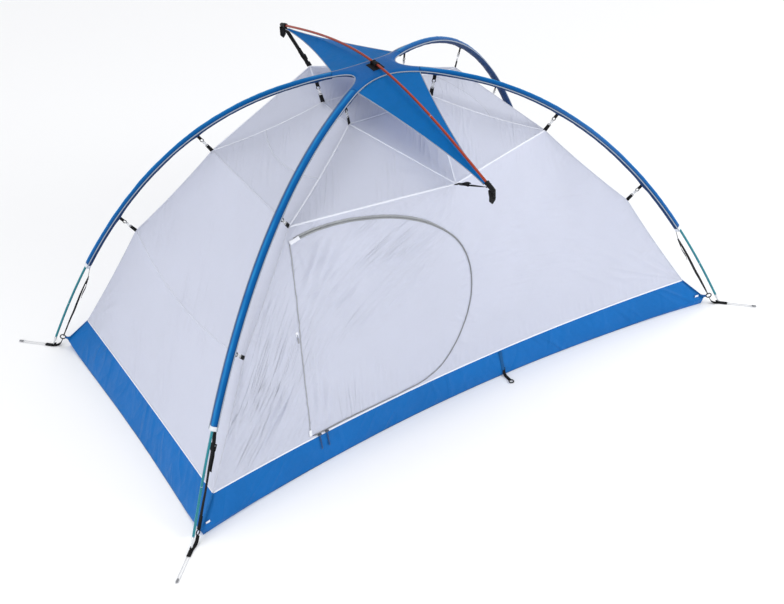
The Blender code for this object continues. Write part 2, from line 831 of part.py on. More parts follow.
def door_cutter(name, distance, hinge_gap):
    """A prism through the wall with the door's outline, its hinge side moved by a gap."""
    line = offset_line(door_line(), distance)
    high, low = Vector((*HINGE_HIGH, 0.0)), Vector((*HINGE_LOW, 0.0))
    along = (low - high).normalized()
    aside = Vector((-along.y, along.x, 0.0)) * hinge_gap
    top = high + aside - along * distance
    bottom = low + aside + along * distance
    line = [top, *line[1:-1], bottom]
    place = frame_matrix((0.0, -0.4, 0.0), (1, 0, 0), (0, 0, 1))
    cutter = plate(name, [(p.x, p.y) for p in line], 0.5, place, "canopy_fabric", collection=CUTTERS)
    cutter.hide_render = True
    cutter.display_type = "WIRE"
    return cutter


def hinge_ends():
    """The door's hinge line, a little outside the wall."""
    ends = [front_wall_point(x, z) for x, z in (HINGE_LOW, HINGE_HIGH)]
    return [p + Vector((0.0, -HINGE_PROUD, 0.0)) for p in ends]


def zip_tape(name, near, far):
    """A strip of the wall's surface between two offsets from the zip's line."""
    line = door_line()
    rows = []
    for distance in (near, far):
        rows.append([front_wall_point(p.x, p.y) for p in offset_line(line, distance)[1:]])
    return sheet(name, rows, "zip_tape", 0.0016)


def slider_and_pull(index, x):
    """A zip slider in front of the tub-side tape, with a cord pull hanging from it."""
    label = ("left", "right")[index == 0]
    z = HINGE_LOW[1] - 0.0045
    y = -tub_top_y(x) - SLIDER_SIZE[1]
    place = Matrix.Translation((x, y, z))
    body = box(f"zip_slider_{label}", SLIDER_SIZE, place, "slider_metal", 0.0010)
    move_origin(body, (x, y, z))
    top = Vector((x, y - 0.0010, z - PULL_DROP))
    hang = Vector((0.0, -PULL_LEAN, -1.0)).normalized()
    path = [top + hang * float(d) for d in np.linspace(0.0, PULL_LENGTH, 6)]
    radii = [0.7, 0.8, 0.8, 0.8, 1.5, 1.3]
    pull = tube(f"zip_pull_{label}", path, 0.0016, "pull_cord", radii)
    move_origin(pull, top)


def door_and_zip():
    wall = long_wall("canopy_wall_front", -1)
    boolean(wall, door_cutter("door_hole", 0.0085, -0.0035), "DIFFERENCE")
    door = long_wall("door", -1)
    boolean(door, door_cutter("door_shape", -0.0075, 0.0035), "INTERSECT")
    door = baked(door)
    door.data.shade_smooth()
    low, high = hinge_ends()
    hinge = bpy.data.objects.new("door_hinge_axis", None)
    PARTS.objects.link(hinge)
    hinge.matrix_world = frame_matrix(low, high - low, (0, 1, 0))
    bpy.context.view_layer.update()
    tape = zip_tape("zip_tape_door", -0.0004, -TAPE_WIDTH)
    zip_tape("zip_tape_wall", 0.0004, TAPE_WIDTH)
    for piece in (door, tape):
        piece.parent = hinge
        piece.matrix_parent_inverse = hinge.matrix_world.inverted()
    for index, x in enumerate(SLIDER_X):
        slider_and_pull(index, x)


def tie_toggle():
    """The toggle beside the hinge that holds the door when it is rolled back."""
    top = front_wall_point(*TOGGLE_AT) + Vector((0.0, -0.0045, 0.012))
    path = [top - Vector((0.0, 0.08 * drop, drop)) for drop in (0.0, 0.006, 0.020, 0.026)]
    toggle = tube("door_tie_toggle", path, 0.0030, "toggle_plastic", [0.5, 1.0, 1.0, 0.7])
    move_origin(toggle, top)


# ---------------------------------------------------------------- corners


def in_leg_plane(leg, r, z):
    outwards, _ = leg_directions(leg)
    return outwards * r + Vector((0.0, 0.0, z))


def guy_direction(leg):
    sx, sy = LEGS[leg]
    return Vector((sx * math.cos(GUY_TURN), sy * math.sin(GUY_TURN), 0.0))


def corner_strap(name, leg):
    """Webbing from the sleeve's end down to the floor corner's ring, then under the pole's tip."""
    _, across = leg_directions(leg)
    down = [in_leg_plane(leg, r, z) for r, z in ((1.1105, 0.358), (BUCKLE_R, BUCKLE_Z), STRAP_LOW)]
    upper = ribbon(name, down, across, 0.015, "webbing")
    tip = in_leg_plane(leg, TIP_R, WEBBING / 2 + 0.0002)
    away = guy_direction(leg)
    along = [
        in_leg_plane(leg, 1.2720, 0.0300),
        in_leg_plane(leg, 1.2830, 0.0100),
        in_leg_plane(leg, 1.2960, WEBBING / 2 + 0.0006),
        tip,
        tip + away * GUY_TAB,
    ]
    lower = ribbon(name + "_foot", along, across, 0.014, "webbing")
    outwards, _ = leg_directions(leg)
    place = frame_matrix(in_leg_plane(leg, RING_R, RING_Z), (0, 0, 1), outwards)
    eye = ring(name + "_ring", 0.0100, 0.0022, place, "webbing", 14)
    joined(name, "webbing", [baked(upper), baked(lower), eye])


def corner_buckle(name, leg):
    _, across = leg_directions(leg)
    a, b = in_leg_plane(leg, BUCKLE_R, BUCKLE_Z), in_leg_plane(leg, *STRAP_LOW)
    along = (b - a).normalized()
    normal = across.cross(along).normalized()
    outwards, _ = leg_directions(leg)
    normal *= -1 if normal.dot(outwards) > 0 else 1
    centre = a.lerp(b, 0.06) + normal * (WEBBING / 2 + 0.0018 + GAP)
    ladder_lock(name, centre, along, across, 0.024)


def guy_cord(name, leg):
    """A doubled cord on the ground: out from the strap's end, round a tight turn and back."""
    away = guy_direction(leg)
    aside = away.cross(Vector((0.0, 0.0, 1.0)))
    tip = in_leg_plane(leg, TIP_R, 0.0)
    up = Vector((0.0, 0.0, GUY_RADIUS + 0.0002))
    reach = GUY_REACH - GUY_RADIUS
    start = GUY_TAB + 0.0040
    along = (start, start + 0.05, reach - 0.018, reach - 0.0047, reach - 0.0014, reach)
    half = (0.0048, 0.0045, 0.0048, 0.0047, 0.0033, 0.0)
    out = [tip + up + away * d + aside * h for d, h in zip(along, half)]
    back = [tip + up + away * d - aside * h for d, h in zip(along[-2::-1], half[-2::-1])]
    tube(name, smooth_line(out + back, 2), GUY_RADIUS, "guy_cord")


# ---------------------------------------------------------------- the tent


def build():
    main_pole("main_pole_a", "front_left", "back_right", POLE_STACK)
    main_pole("main_pole_b", "front_right", "back_left", -POLE_STACK)
    ridge_pole()
    hub_web()
    hub_keeper()
    for side, word in ((-1, "front"), (1, "back")):
        ridge_cap(f"ridge_cap_{word}", side)
        wing(f"wing_{word}", side)
        ridge_strap(f"ridge_strap_{word}", side)
        ridge_buckle(f"ridge_buckle_{word}", side)
        eave(f"canopy_eave_{word}", side)
        stake_loop(f"stake_loop_{word}", side)
    for leg in LEGS:
        sleeve(f"sleeve_{leg}", leg)
        corner_strap(f"corner_strap_{leg}", leg)
        corner_buckle(f"corner_buckle_{leg}", leg)
        guy_cord(f"guy_cord_{leg}", leg)
        for index, word in enumerate(CLIP_NAMES):
            clip(f"clip_{word}_{leg}", leg, index)
    tub_floor()
    roof()
    end_wall("canopy_wall_left", -1)
    end_wall("canopy_wall_right", 1)
    long_wall("canopy_wall_back", 1)
    door_and_zip()
    tie_toggle()


clear_scene()
PARTS = new_collection("dome_tent")
CUTTERS = new_collection("cutters")
build()
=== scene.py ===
"""Looks of the dome tent: fabric, poles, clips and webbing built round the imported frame.

Metres, +Z up, +X along the tent's length, the door on the -Y side, as in the frame.
"""

import math

import bpy
import numpy as np
from mathutils import Matrix, Vector
from mathutils.bvhtree import BVHTree
from mathutils.geometry import delaunay_2d_cdt


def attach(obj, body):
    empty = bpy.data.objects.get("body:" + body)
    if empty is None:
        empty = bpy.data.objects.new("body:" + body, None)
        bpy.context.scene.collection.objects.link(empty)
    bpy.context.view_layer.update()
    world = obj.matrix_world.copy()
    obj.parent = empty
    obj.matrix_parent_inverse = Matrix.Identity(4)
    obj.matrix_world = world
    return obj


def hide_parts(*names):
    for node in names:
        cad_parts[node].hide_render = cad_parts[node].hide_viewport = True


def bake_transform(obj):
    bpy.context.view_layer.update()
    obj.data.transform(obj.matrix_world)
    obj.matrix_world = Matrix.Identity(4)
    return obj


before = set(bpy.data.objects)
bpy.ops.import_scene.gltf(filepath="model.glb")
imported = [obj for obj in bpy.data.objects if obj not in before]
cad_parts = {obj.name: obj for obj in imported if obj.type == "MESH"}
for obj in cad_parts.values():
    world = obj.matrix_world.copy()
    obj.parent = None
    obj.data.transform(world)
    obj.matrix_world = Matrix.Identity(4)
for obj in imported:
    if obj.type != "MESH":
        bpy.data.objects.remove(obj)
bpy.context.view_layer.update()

# ---------------------------------------------------------------- design values, as in the CAD

LEGS = {
    "front_left": (-1, -1),
    "front_right": (1, -1),
    "back_left": (-1, 1),
    "back_right": (1, 1),
}
SIDES = ((-1, "front"), (1, "back"))
UP = np.array((0.0, 0.0, 1.0))
X_AXIS = np.array((1.0, 0.0, 0.0))

TIP_X = 1.1516
TIP_Y = 0.6309
TIP_R = math.hypot(TIP_X, TIP_Y)
TIP_Z = 0.0055
POLE_RADIUS = 0.0045
CROWN_Z = 1.1255
POLE_STACK = 0.0049
CROWN_HANDLE_R = 0.6715
LEG_HANDLE = (1.0434, 0.5868)

SLEEVE_START_R = 0.1505
SLEEVE_END_R = 1.120
SLEEVE_HALF_WIDTH = 0.0195
SLEEVE_TOP = 0.0080
SLEEVE_BELOW = 0.0120
HUB_ARM_R = 0.1505
HUB_WAIST = 0.030

RIDGE_CROWN_Z = 1.1500
RIDGE_DROP = 0.139
RIDGE_HALF = 0.694
CAP_INNER_Y = 0.662
CAP_OUTER_Y = 0.706
WING_END_Y = 0.655
WING_END_DROP = 0.0125
STRAP_TOP_Y = 0.672
STRAP_TOP_DROP = 0.0105

CLIP_NAMES = ("top", "middle", "low")
SLEEVE_CLIP_R = (0.2073, 0.6460, 0.9740)
CANOPY_CLIPS = np.array(((0.1649, 0.0904, 1.012), (0.5198, 0.2848, 0.843), (0.7988, 0.4376, 0.521)))
TUB_TOP_CORNER = np.array((1.019, 0.550, 0.120))
TUB_TOP_MID_X = 1.016
TUB_TOP_MID_Y = 0.488
PEAK = np.array((0.0, 0.490, 0.923))
EDGE_SAG = 0.012
FLOOR_CORNER = np.array((1.100, 0.598, 0.030))
TUB_MID_X = 1.086
TUB_MID_Y = 0.497

HINGE_LOW = (-0.624, 0.129)
HINGE_HIGH = (-0.535, 0.795)
DOOR_OUTLINE = (
    (-0.425, 0.826),
    (-0.310, 0.838),
    (-0.190, 0.826),
    (-0.085, 0.780),
    (0.012, 0.685),
    (0.066, 0.560),
    (0.070, 0.430),
    (0.028, 0.300),
    (-0.050, 0.185),
    (-0.135, 0.140),
    (-0.240, 0.1295),
    (-0.430, 0.1290),
)
SLIDER_X = (-0.560, -0.590)  # the right one, then the left one
TOGGLE_AT = (-0.586, 0.475)
PULL_LEAN = 0.20

RING_R = 1.2690
RING_Z = 0.041
STRAP_LOW = (1.2648, 0.0490)
BUCKLE_R = 1.122
BUCKLE_Z = 0.325
GUY_TURN = math.radians(45.0)
GUY_TAB = 0.030
GUY_REACH = 0.147
GUY_RADIUS = 0.0011

CLOTH = 0.0005  # thickness of the shown fabric
SPACING = 0.0062  # between the points of a canopy panel
SEAM_HALF_WIDTH = 0.0038  # of the piped seam up to the peak

# ---------------------------------------------------------------- camera, light and floor

CAMERA_AT = (-2.0736, -3.5819, 3.3725)
CAMERA_TURN = [math.radians(angle) for angle in (-30.3451, 38.2562, -2.6449)]
LENS = 62.195


def make_camera():
    """The camera of the photo: azimuth, elevation and roll from the front."""
    azimuth, elevation, roll = CAMERA_TURN
    back = Vector(
        (
            math.sin(azimuth) * math.cos(elevation),
            -math.cos(azimuth) * math.cos(elevation),
            math.sin(elevation),
        )
    )
    right = Vector((math.cos(azimuth), math.sin(azimuth), 0.0))
    up = back.cross(right)
    rolled_right = math.cos(roll) * right + math.sin(roll) * up
    rolled_up = math.cos(roll) * up - math.sin(roll) * right
    data = bpy.data.cameras.new("camera")
    data.sensor_width = 36.0
    data.lens = LENS
    camera = bpy.data.objects.new("camera", data)
    bpy.context.scene.collection.objects.link(camera)
    turn = Matrix((rolled_right, rolled_up, back)).transposed().to_4x4()
    camera.matrix_world = Matrix.Translation(CAMERA_AT) @ turn
    bpy.context.scene.camera = camera


WORLD_COLOUR = (0.965, 0.975, 1.0, 1.0)
WORLD_FADE = {"From Min": 0.05, "From Max": 0.80, "To Min": 0.98, "To Max": 0.56}  # strength over height
FLOOR_SIZE = 80.0
FLOOR_DROP = 0.0006  # below the tent's lowest cloth
LAMPS = {
    "key": ((3.8, -3.5, 2.5), (0.1, 0.0, 0.5), (2.2, 1.6), 120.0),
    "fill": ((-4.6, -1.6, 2.2), (0.0, 0.0, 0.4), (2.6, 2.0), 76.0),
    "overhead": ((0.6, 1.2, 4.6), (0.0, 0.0, 0.6), (3.0, 3.0), 1.0),
}
OVERHEAD_ANGLE = 1.1
OVERHEAD_STRENGTH = 0.95


def area_light(name, place, target, size, power):
    """A rectangular lamp that faces a target."""
    data = bpy.data.lights.new(name, "AREA")
    data.shape = "RECTANGLE"
    data.size, data.size_y = size
    data.energy = power
    lamp = bpy.data.objects.new(name, data)
    bpy.context.scene.collection.objects.link(lamp)
    lamp.location = place
    lamp.rotation_mode = "QUATERNION"
    lamp.rotation_quaternion = (Vector(target) - Vector(place)).to_track_quat("-Z", "Y")
    return lamp


def make_studio():
    """A white room, brightest at the horizon, two soft lamps, a wide overhead light and a pale floor."""
    scene = bpy.context.scene
    scene.view_settings.view_transform = "Standard"
    world = bpy.data.worlds.new("studio")
    world.use_nodes = True
    background = world.node_tree.nodes["Background"]
    background.inputs["Color"].default_value = WORLD_COLOUR
    tree = world.node_tree
    coords, split = tree.nodes.new("ShaderNodeTexCoord"), tree.nodes.new("ShaderNodeSeparateXYZ")
    height = tree.nodes.new("ShaderNodeMapRange")
    for name, value in WORLD_FADE.items():
        height.inputs[name].default_value = value
    tree.links.new(coords.outputs["Generated"], split.inputs[0])
    tree.links.new(split.outputs["Z"], height.inputs["Value"])
    tree.links.new(height.outputs["Result"], background.inputs["Strength"])
    scene.world = world
    lamps = {name: area_light(name, *how) for name, how in LAMPS.items()}
    overhead = lamps["overhead"]
    overhead.data.type = "SUN"
    overhead.data.angle = OVERHEAD_ANGLE
    overhead.data.energy = OVERHEAD_STRENGTH
    floor_material = Finish("studio_floor", (0.93, 0.93, 0.93), 0.95).material
    bpy.ops.mesh.primitive_plane_add(size=FLOOR_SIZE, location=(0.0, 0.0, -FLOOR_DROP))
    floor = bpy.context.object
    floor.name = "studio_floor"
    floor.data.materials.append(floor_material)


# ---------------------------------------------------------------- materials

CANOPY_WHITE = (0.738, 0.762, 0.862)
BLUE = (0.001, 0.094, 0.318)
PAINTED_HIGHLIGHT_BLUE = (0.020, 0.225, 0.500)  # painted highlight: the paler blue painted along a sleeve's top, over the pole
WING_BLUE = (0.001, 0.228, 0.590)
TUB_BLUE = (0.001, 0.125, 0.410)
BLACK = (0.006, 0.006, 0.007)
SLEEVE_MIDDLE = 0.0187  # V of the line along a sleeve's top


class Finish:
    """A material with a Principled shader, and short ways to add nodes to it."""

    def __init__(self, name, colour, roughness, metallic=0.0, **inputs):
        self.material = bpy.data.materials.new(name)
        self.material.use_nodes = True
        self.tree = self.material.node_tree
        self.shader = self.tree.nodes["Principled BSDF"]
        self.set(self.shader, {"Base Color": (*colour, 1.0), "Roughness": roughness, "Metallic": metallic})
        self.set(self.shader, {key.replace("_", " "): value for key, value in inputs.items()})

    def set(self, node, inputs):
        """Links or sets a node's inputs, by name or number."""
        for key, value in inputs.items():
            if isinstance(value, bpy.types.NodeSocket):
                self.tree.links.new(value, node.inputs[key])
            else:
                node.inputs[key].default_value = value

    def node(self, kind, inputs=None, **settings):
        node = self.tree.nodes.new(kind)
        for key, value in settings.items():
            setattr(node, key, value)
        self.set(node, inputs or {})
        return node

    def coords(self, kind="UV"):
        return self.node("ShaderNodeTexCoord").outputs[kind]

    def stretched(self, source, scale):
        """Coordinates scaled along each axis, so that one unit is a repeat."""
        return self.node("ShaderNodeMapping", {"Vector": source, "Scale": scale}).outputs["Vector"]

    def noise(self, source, scale, detail=2.0, roughness=0.5):
        inputs = {"Vector": source, "Scale": scale, "Detail": detail, "Roughness": roughness}
        return self.node("ShaderNodeTexNoise", inputs).outputs["Fac"]

    def math(self, operation, a, b=0.0):
        return self.node("ShaderNodeMath", {0: a, 1: b}, operation=operation).outputs[0]

    def ranged(self, value, low, high, start=0.3, end=0.7):
        inputs = {"Value": value, "From Min": start, "From Max": end, "To Min": low, "To Max": high}
        return self.node("ShaderNodeMapRange", inputs).outputs["Result"]

    def mixed(self, factor, a, b):
        """A colour between two colours."""
        node = self.node("ShaderNodeMix", data_type="RGBA")
        self.set(node, {"Factor": factor})
        for socket, value in ((node.inputs[6], a), (node.inputs[7], b)):
            if isinstance(value, bpy.types.NodeSocket):
                self.tree.links.new(value, socket)
            else:
                socket.default_value = (*value, 1.0)
        return node.outputs[2]

    def ripple(self, source, axis, period):
        """A sine wave along one axis of the coordinates."""
        split = self.node("ShaderNodeSeparateXYZ", {"Vector": source}).outputs[axis]
        return self.math("SINE", self.math("MULTIPLY", split, math.tau / period))

    def bump(self, height, distance, strength=1.0, under=None):
        inputs = {"Height": height, "Distance": distance, "Strength": strength}
        if under is not None:
            inputs["Normal"] = under
        made = self.node("ShaderNodeBump", inputs).outputs["Normal"]
        self.set(self.shader, {"Normal": made})
        return made

    def colour(self, value):
        self.set(self.shader, {"Base Color": value})

    def roughness(self, value):
        self.set(self.shader, {"Roughness": value})


def shade(colour, factor):
    """The colour made darker or paler, up to white."""
    return tuple(min(1.0, c * factor) for c in colour)


def woven(
    name,
    colour,
    roughness,
    weave,
    ripstop=0.0,
    through=0.0,
    variation=0.06,
    creases=(),
    gloss=0.18,
    middle=None,
):
    """Thin cloth: a plain weave, an optional ripstop grid, soft mottling, fine creases and light let through.

    The weave and the ripstop are repeats in metres. The middle is V of the line along which a highlight is
    painted, with painted shade towards the cloth's edges.
    """
    made = Finish(name, colour, roughness, Specular_IOR_Level=gloss)
    place = made.coords("UV")
    solid = made.coords("Object")
    warp, weft = made.ripple(place, 0, weave), made.ripple(place, 1, weave)
    threads = made.math("MULTIPLY", warp, weft)
    blotch = made.noise(solid, 5.0, 3.0)
    fine = made.noise(solid, 90.0, 2.0)
    mix = made.math("ADD", made.math("MULTIPLY", blotch, 0.7), made.math("MULTIPLY", fine, 0.3))
    base = made.mixed(made.ranged(mix, 0.0, 1.0), shade(colour, 1 - variation), shade(colour, 1 + variation))
    height = made.math("MULTIPLY", threads, 0.5)
    if ripstop:
        grid = made.math("MAXIMUM", made.ripple(place, 0, ripstop), made.ripple(place, 1, ripstop))
        lines = made.ranged(grid, 0.0, 1.0, 0.93, 0.995)
        height = made.math("ADD", height, lines)
        base = made.mixed(made.math("MULTIPLY", lines, 0.10), base, shade(colour, 1.25))
    if middle:
        base = paint_pole_highlight_and_shade(made, place, base, colour, middle)
    made.colour(base)
    made.roughness(made.ranged(made.noise(solid, 30.0, 2.0), roughness - 0.06, roughness + 0.06))
    soft = made.bump(made.noise(solid, 42.0, 3.0), 0.0012, 0.22)
    for depth, *lines in creases:
        soft = made.bump(crease_lines(made, place, *lines), depth, 1.0, soft)
    made.bump(height, 0.00012, 0.5, soft)
    if through:
        let_through(made, base, through)
    return made.material


def paint_pole_highlight_and_shade(made, place, base, colour, middle):
    """A painted highlight: paler cloth along the middle, over the pole's line, and painted shade: darker cloth
    at the edges.
    """
    across = made.node("ShaderNodeSeparateXYZ", {"Vector": place}).outputs["Y"]
    off = made.math("ABSOLUTE", made.math("SUBTRACT", across, middle))
    uneven = made.ranged(made.noise(made.stretched(place, (14.0, 60.0, 1.0)), 1.0, 2.0), 0.35, 1.0)
    # painted highlight: how much of the paler blue is painted, strongest on the pole's line
    highlight_share = made.math("MULTIPLY", made.ranged(off, 1.0, 0.0, 0.0016, 0.0062), uneven)
    base = made.mixed(highlight_share, base, PAINTED_HIGHLIGHT_BLUE)
    # painted shade: the cloth darkened towards the sleeve's edges
    return made.mixed(made.ranged(off, 0.0, 0.8, 0.4 * middle, 0.95 * middle), base, shade(colour, 0.45))


def crease_lines(made, place, angle, pitch, seed, centre=None, reach=1.0):
    """Patches of long, sharp creases at an angle in the cloth's plane, near a place if one is given."""
    turned_place = made.node(
        "ShaderNodeMapping",
        {"Vector": place, "Rotation": (0.0, 0.0, -math.radians(angle)), "Location": (seed, seed, 0.0)},
    ).outputs["Vector"]
    wave = made.noise(made.stretched(turned_place, (4.0, 0.6 / pitch, 1.0)), 1.0, 1.0)
    lines = made.ranged(made.math("ABSOLUTE", made.math("SUBTRACT", wave, 0.5)), 1.0, 0.0, 0.0, 0.14)
    uneven = made.noise(made.stretched(turned_place, (3.0, 9.0, 1.0)), 1.0, 1.0)
    patches = made.ranged(uneven, 0.0, 1.0, 0.42, 0.58)
    if centre is None:
        return made.math("MULTIPLY", lines, patches)
    apart = made.node("ShaderNodeVectorMath", {0: place, 1: (*centre, 0.0)}, operation="DISTANCE")
    near = made.ranged(apart.outputs["Value"], 1.0, 0.0, 0.45 * reach, reach)
    return made.math("MULTIPLY", lines, made.math("MULTIPLY", near, made.ranged(patches, 0.35, 1.0, 0.0, 1.0)))


def let_through(made, colour, share):
    """A share of the light passes through the cloth and comes out in its colour."""
    glow = made.node("ShaderNodeBsdfTranslucent")
    made.set(glow, {"Color": colour if isinstance(colour, bpy.types.NodeSocket) else (*colour, 1.0)})
    mix = made.node("ShaderNodeMixShader", {0: share})
    made.tree.links.new(made.shader.outputs[0], mix.inputs[1])
    made.tree.links.new(glow.outputs[0], mix.inputs[2])
    output = next(n for n in made.tree.nodes if n.type == "OUTPUT_MATERIAL")
    made.tree.links.new(mix.outputs[0], output.inputs["Surface"])


def stitched(name, colour, roughness, half_width, gap=0.0032, thread=1.12):
    """A sewn band: weave, and a line of stitches near each edge. U runs along, V from 0 across it."""
    made = Finish(name, colour, roughness)
    place = made.coords("UV")
    split = made.node("ShaderNodeSeparateXYZ", {"Vector": place})
    off_middle = made.math("ABSOLUTE", made.math("SUBTRACT", split.outputs[1], half_width))
    off_line = made.math("ABSOLUTE", made.math("SUBTRACT", off_middle, half_width * 0.55))
    line = made.ranged(off_line, 1.0, 0.0, 0.0003, 0.0006)
    dashes = made.ranged(made.ripple(place, 0, gap), 0.0, 1.0, -0.6, -0.2)
    stitch = made.math("MULTIPLY", line, dashes)
    grain = made.math("MULTIPLY", made.ripple(place, 0, 0.0009), made.ripple(place, 1, 0.0009))
    cloth = made.mixed(made.noise(place, 60.0), shade(colour, 0.95), colour)
    made.colour(made.mixed(stitch, cloth, shade(colour, thread)))
    made.roughness(made.ranged(made.noise(place, 200.0), roughness - 0.05, roughness + 0.08))
    under = made.bump(grain, 0.00012, 0.4)
    made.bump(stitch, 0.0004, 0.8, under)
    return made.material


def webbing_material(name, colour, rib=0.0016):
    """Woven tape: ribs across it, a twill along it, and worn, paler high spots."""
    made = Finish(name, colour, 0.78, Specular_IOR_Level=0.2)
    place = made.coords("UV")
    ribs = made.ripple(place, 0, rib)
    twill = made.math("MULTIPLY", ribs, made.ripple(place, 1, rib * 1.4))
    wear = made.noise(made.stretched(place, (60.0, 220.0, 1.0)), 1.0, 4.0)
    made.colour(made.mixed(made.ranged(wear, 0.0, 1.0, 0.50, 0.80), colour, shade(colour, 1.8)))
    made.roughness(made.ranged(wear, 0.70, 0.88))
    under = made.bump(twill, 0.0003, 0.7)
    made.bump(wear, 0.0004, 0.3, under)
    return made.material


def moulded(name, colour, roughness, **inputs):
    """Moulded plastic: a fine grain, uneven gloss and scuffed, paler patches."""
    made = Finish(name, colour, roughness, **inputs)
    solid = made.coords("Object")
    scuffs = made.noise(solid, 160.0, 5.0, 0.65)
    made.colour(made.mixed(made.ranged(scuffs, 0.0, 0.6, 0.5, 0.72), colour, shade(colour, 1.6)))
    made.roughness(made.ranged(scuffs, roughness - 0.07, roughness + 0.14))
    made.bump(made.noise(solid, 900.0, 3.0), 0.00015, 0.35)
    return made.material


def anodised(name, colour, other):
    """Anodised tube: satin, with faint drawn streaks along it and a slow change of tone."""
    made = Finish(name, colour, 0.27, metallic=0.72, Coat_Weight=0.25, Coat_Roughness=0.2)
    place = made.coords("UV")
    streaks = made.noise(made.stretched(place, (6.0, 900.0, 1.0)), 1.0, 3.0)
    tone = made.noise(made.coords("Object"), 9.0, 2.0)
    blend = made.math("ADD", made.math("MULTIPLY", streaks, 0.6), made.math("MULTIPLY", tone, 0.4))
    made.colour(made.mixed(made.ranged(blend, 0.0, 1.0), colour, other))
    made.roughness(made.ranged(streaks, 0.20, 0.38))
    made.bump(streaks, 0.00006, 0.3)
    return made.material


def corded(name, colour, other, pitch, twist=1.0):
    """Braided cord: two crossing sets of diagonal strands, with painted shade where the braid is low."""
    made = Finish(name, colour, 0.72, Sheen_Weight=0.2, Sheen_Roughness=0.5)
    split = made.node("ShaderNodeSeparateXYZ", {"Vector": made.coords("UV")})
    along = made.math("MULTIPLY", split.outputs[0], math.tau / pitch)
    around = made.math("MULTIPLY", split.outputs[1], twist * math.tau / pitch)
    one = made.math("SINE", made.math("ADD", along, around))
    two = made.math("SINE", made.math("SUBTRACT", along, around))
    braid = made.math("MULTIPLY", one, two)
    # painted shade: the second colour fills the braid's low places between the strands
    made.colour(made.mixed(made.ranged(braid, 0.0, 1.0, -0.6, 0.6), other, colour))
    made.roughness(made.ranged(made.noise(made.coords("Object"), 300.0), 0.64, 0.82))
    made.bump(braid, 0.0003, 0.7)
    return made.material


CANOPY = {"roughness": 0.62, "weave": 0.0011, "ripstop": 0.0052, "through": 0.34, "variation": 0.015}
CANOPY_CREASES = ((0.0016, 58.0, 0.014, 3.1),)
DOOR_SIDE_CREASES = (
    (0.0032, 40.0, 0.013, 1.7, (-0.36, 0.66), 0.30),
    (0.0032, 52.0, 0.011, 5.3, (-0.68, 0.46), 0.26),
    (0.0032, 46.0, 0.012, 6.1, (-0.80, 0.26), 0.26),
    (0.0032, 84.0, 0.014, 2.6, (-0.42, 0.14), 0.22),
    (0.0020, 36.0, 0.012, 9.4, (-0.14, 0.76), 0.20),
    (0.0012, -14.0, 0.016, 8.9, (0.36, 0.50), 0.40),
)
WING_CREASES = ((0.0022, 84.0, 0.018, 2.2, (0.0, -0.45), 0.30),)
TUB_CREASES = ((0.0026, 68.0, 0.040, 4.4), (0.0022, 112.0, 0.045, 7.7))


def make_materials():
    """Every look by its short name. Creases are depth, angle, pitch and seed, then a place and a reach."""
    return {
        "canopy": woven("canopy_ripstop", CANOPY_WHITE, **CANOPY, creases=CANOPY_CREASES),
        "canopy_door_side": woven("canopy_ripstop_creased", CANOPY_WHITE, **CANOPY, creases=DOOR_SIDE_CREASES),
        "blue": woven("hub_taffeta", BLUE, 0.36, 0.0010, variation=0.10, gloss=0.10),
        # the sleeve's top: a painted highlight along the pole, painted shade at its edges
        "sleeve": woven("sleeve_taffeta", BLUE, 0.36, 0.0010, variation=0.10, gloss=0.08, middle=SLEEVE_MIDDLE),
        # painted shade: the undersides of the sleeves and the hub, the same cloth as their tops, in a darker
        # blue
        "under": woven("sleeve_underside_painted_shade", (0.001, 0.030, 0.115), 0.52, 0.0010, variation=0.10),
        "band": stitched("pale_band", (0.70, 0.73, 0.78), 0.60, 0.0040),
        "tub_tape": webbing_material("tub_tape", (0.010, 0.120, 0.360)),
        "wing": woven("wing_ripstop", WING_BLUE, 0.50, 0.0010, 0.0050, 0.52, 0.08, WING_CREASES),
        "tub": woven("tub_taffeta", TUB_BLUE, 0.44, 0.0012, variation=0.08, creases=TUB_CREASES),
        "seam": stitched("canopy_seam", (0.800, 0.825, 0.910), 0.66, SEAM_HALF_WIDTH),
        # painted shade: the flat seams' band is darker than the canopy, where the doubled cloth lets less light
        # through
        "soft_seam": stitched("canopy_flat_seam_painted_shade", (0.600, 0.622, 0.715), 0.66, 0.0024, 0.0032, 0.92),
        "hinge_seam": stitched("hinge_seam", (0.400, 0.410, 0.440), 0.70, 0.0016),
        "binding": stitched("white_binding", (0.84, 0.86, 0.92), 0.60, 0.0026),
        "piping": stitched("grey_piping", (0.300, 0.345, 0.410), 0.42, 0.0030, 0.0024, 1.2),
        "webbing": webbing_material("black_webbing", BLACK),
        "blue_webbing": webbing_material("blue_webbing", (0.008, 0.090, 0.260)),
        "plastic": moulded("black_acetal", BLACK, 0.40, Specular_IOR_Level=0.14),
        "clear": moulded("clear_acetal", (0.80, 0.81, 0.83), 0.22, Transmission_Weight=0.35),
        "toggle": moulded("grey_acetal", (0.300, 0.310, 0.330), 0.42),
        "slider": moulded("painted_zinc", (0.060, 0.075, 0.100), 0.34),
        "tape": zip_tape_material(),
        "coil": coil_material(),
        "pole": anodised("teal_anodising", (0.010, 0.165, 0.215), (0.022, 0.235, 0.270)),
        "ridge": anodised("orange_anodising", (0.270, 0.022, 0.007), (0.380, 0.046, 0.015)),
        "tip": anodised("bare_aluminium", (0.62, 0.64, 0.66), (0.72, 0.74, 0.76)),
        "pull": corded("pull_braid", (0.010, 0.085, 0.260), (0.004, 0.035, 0.120), 0.0022),
        "guy": corded("guy_braid", (0.780, 0.785, 0.800), (0.560, 0.570, 0.590), 0.0020),
        "guy_end": moulded("grey_cord_end", (0.200, 0.205, 0.215), 0.50),
    }


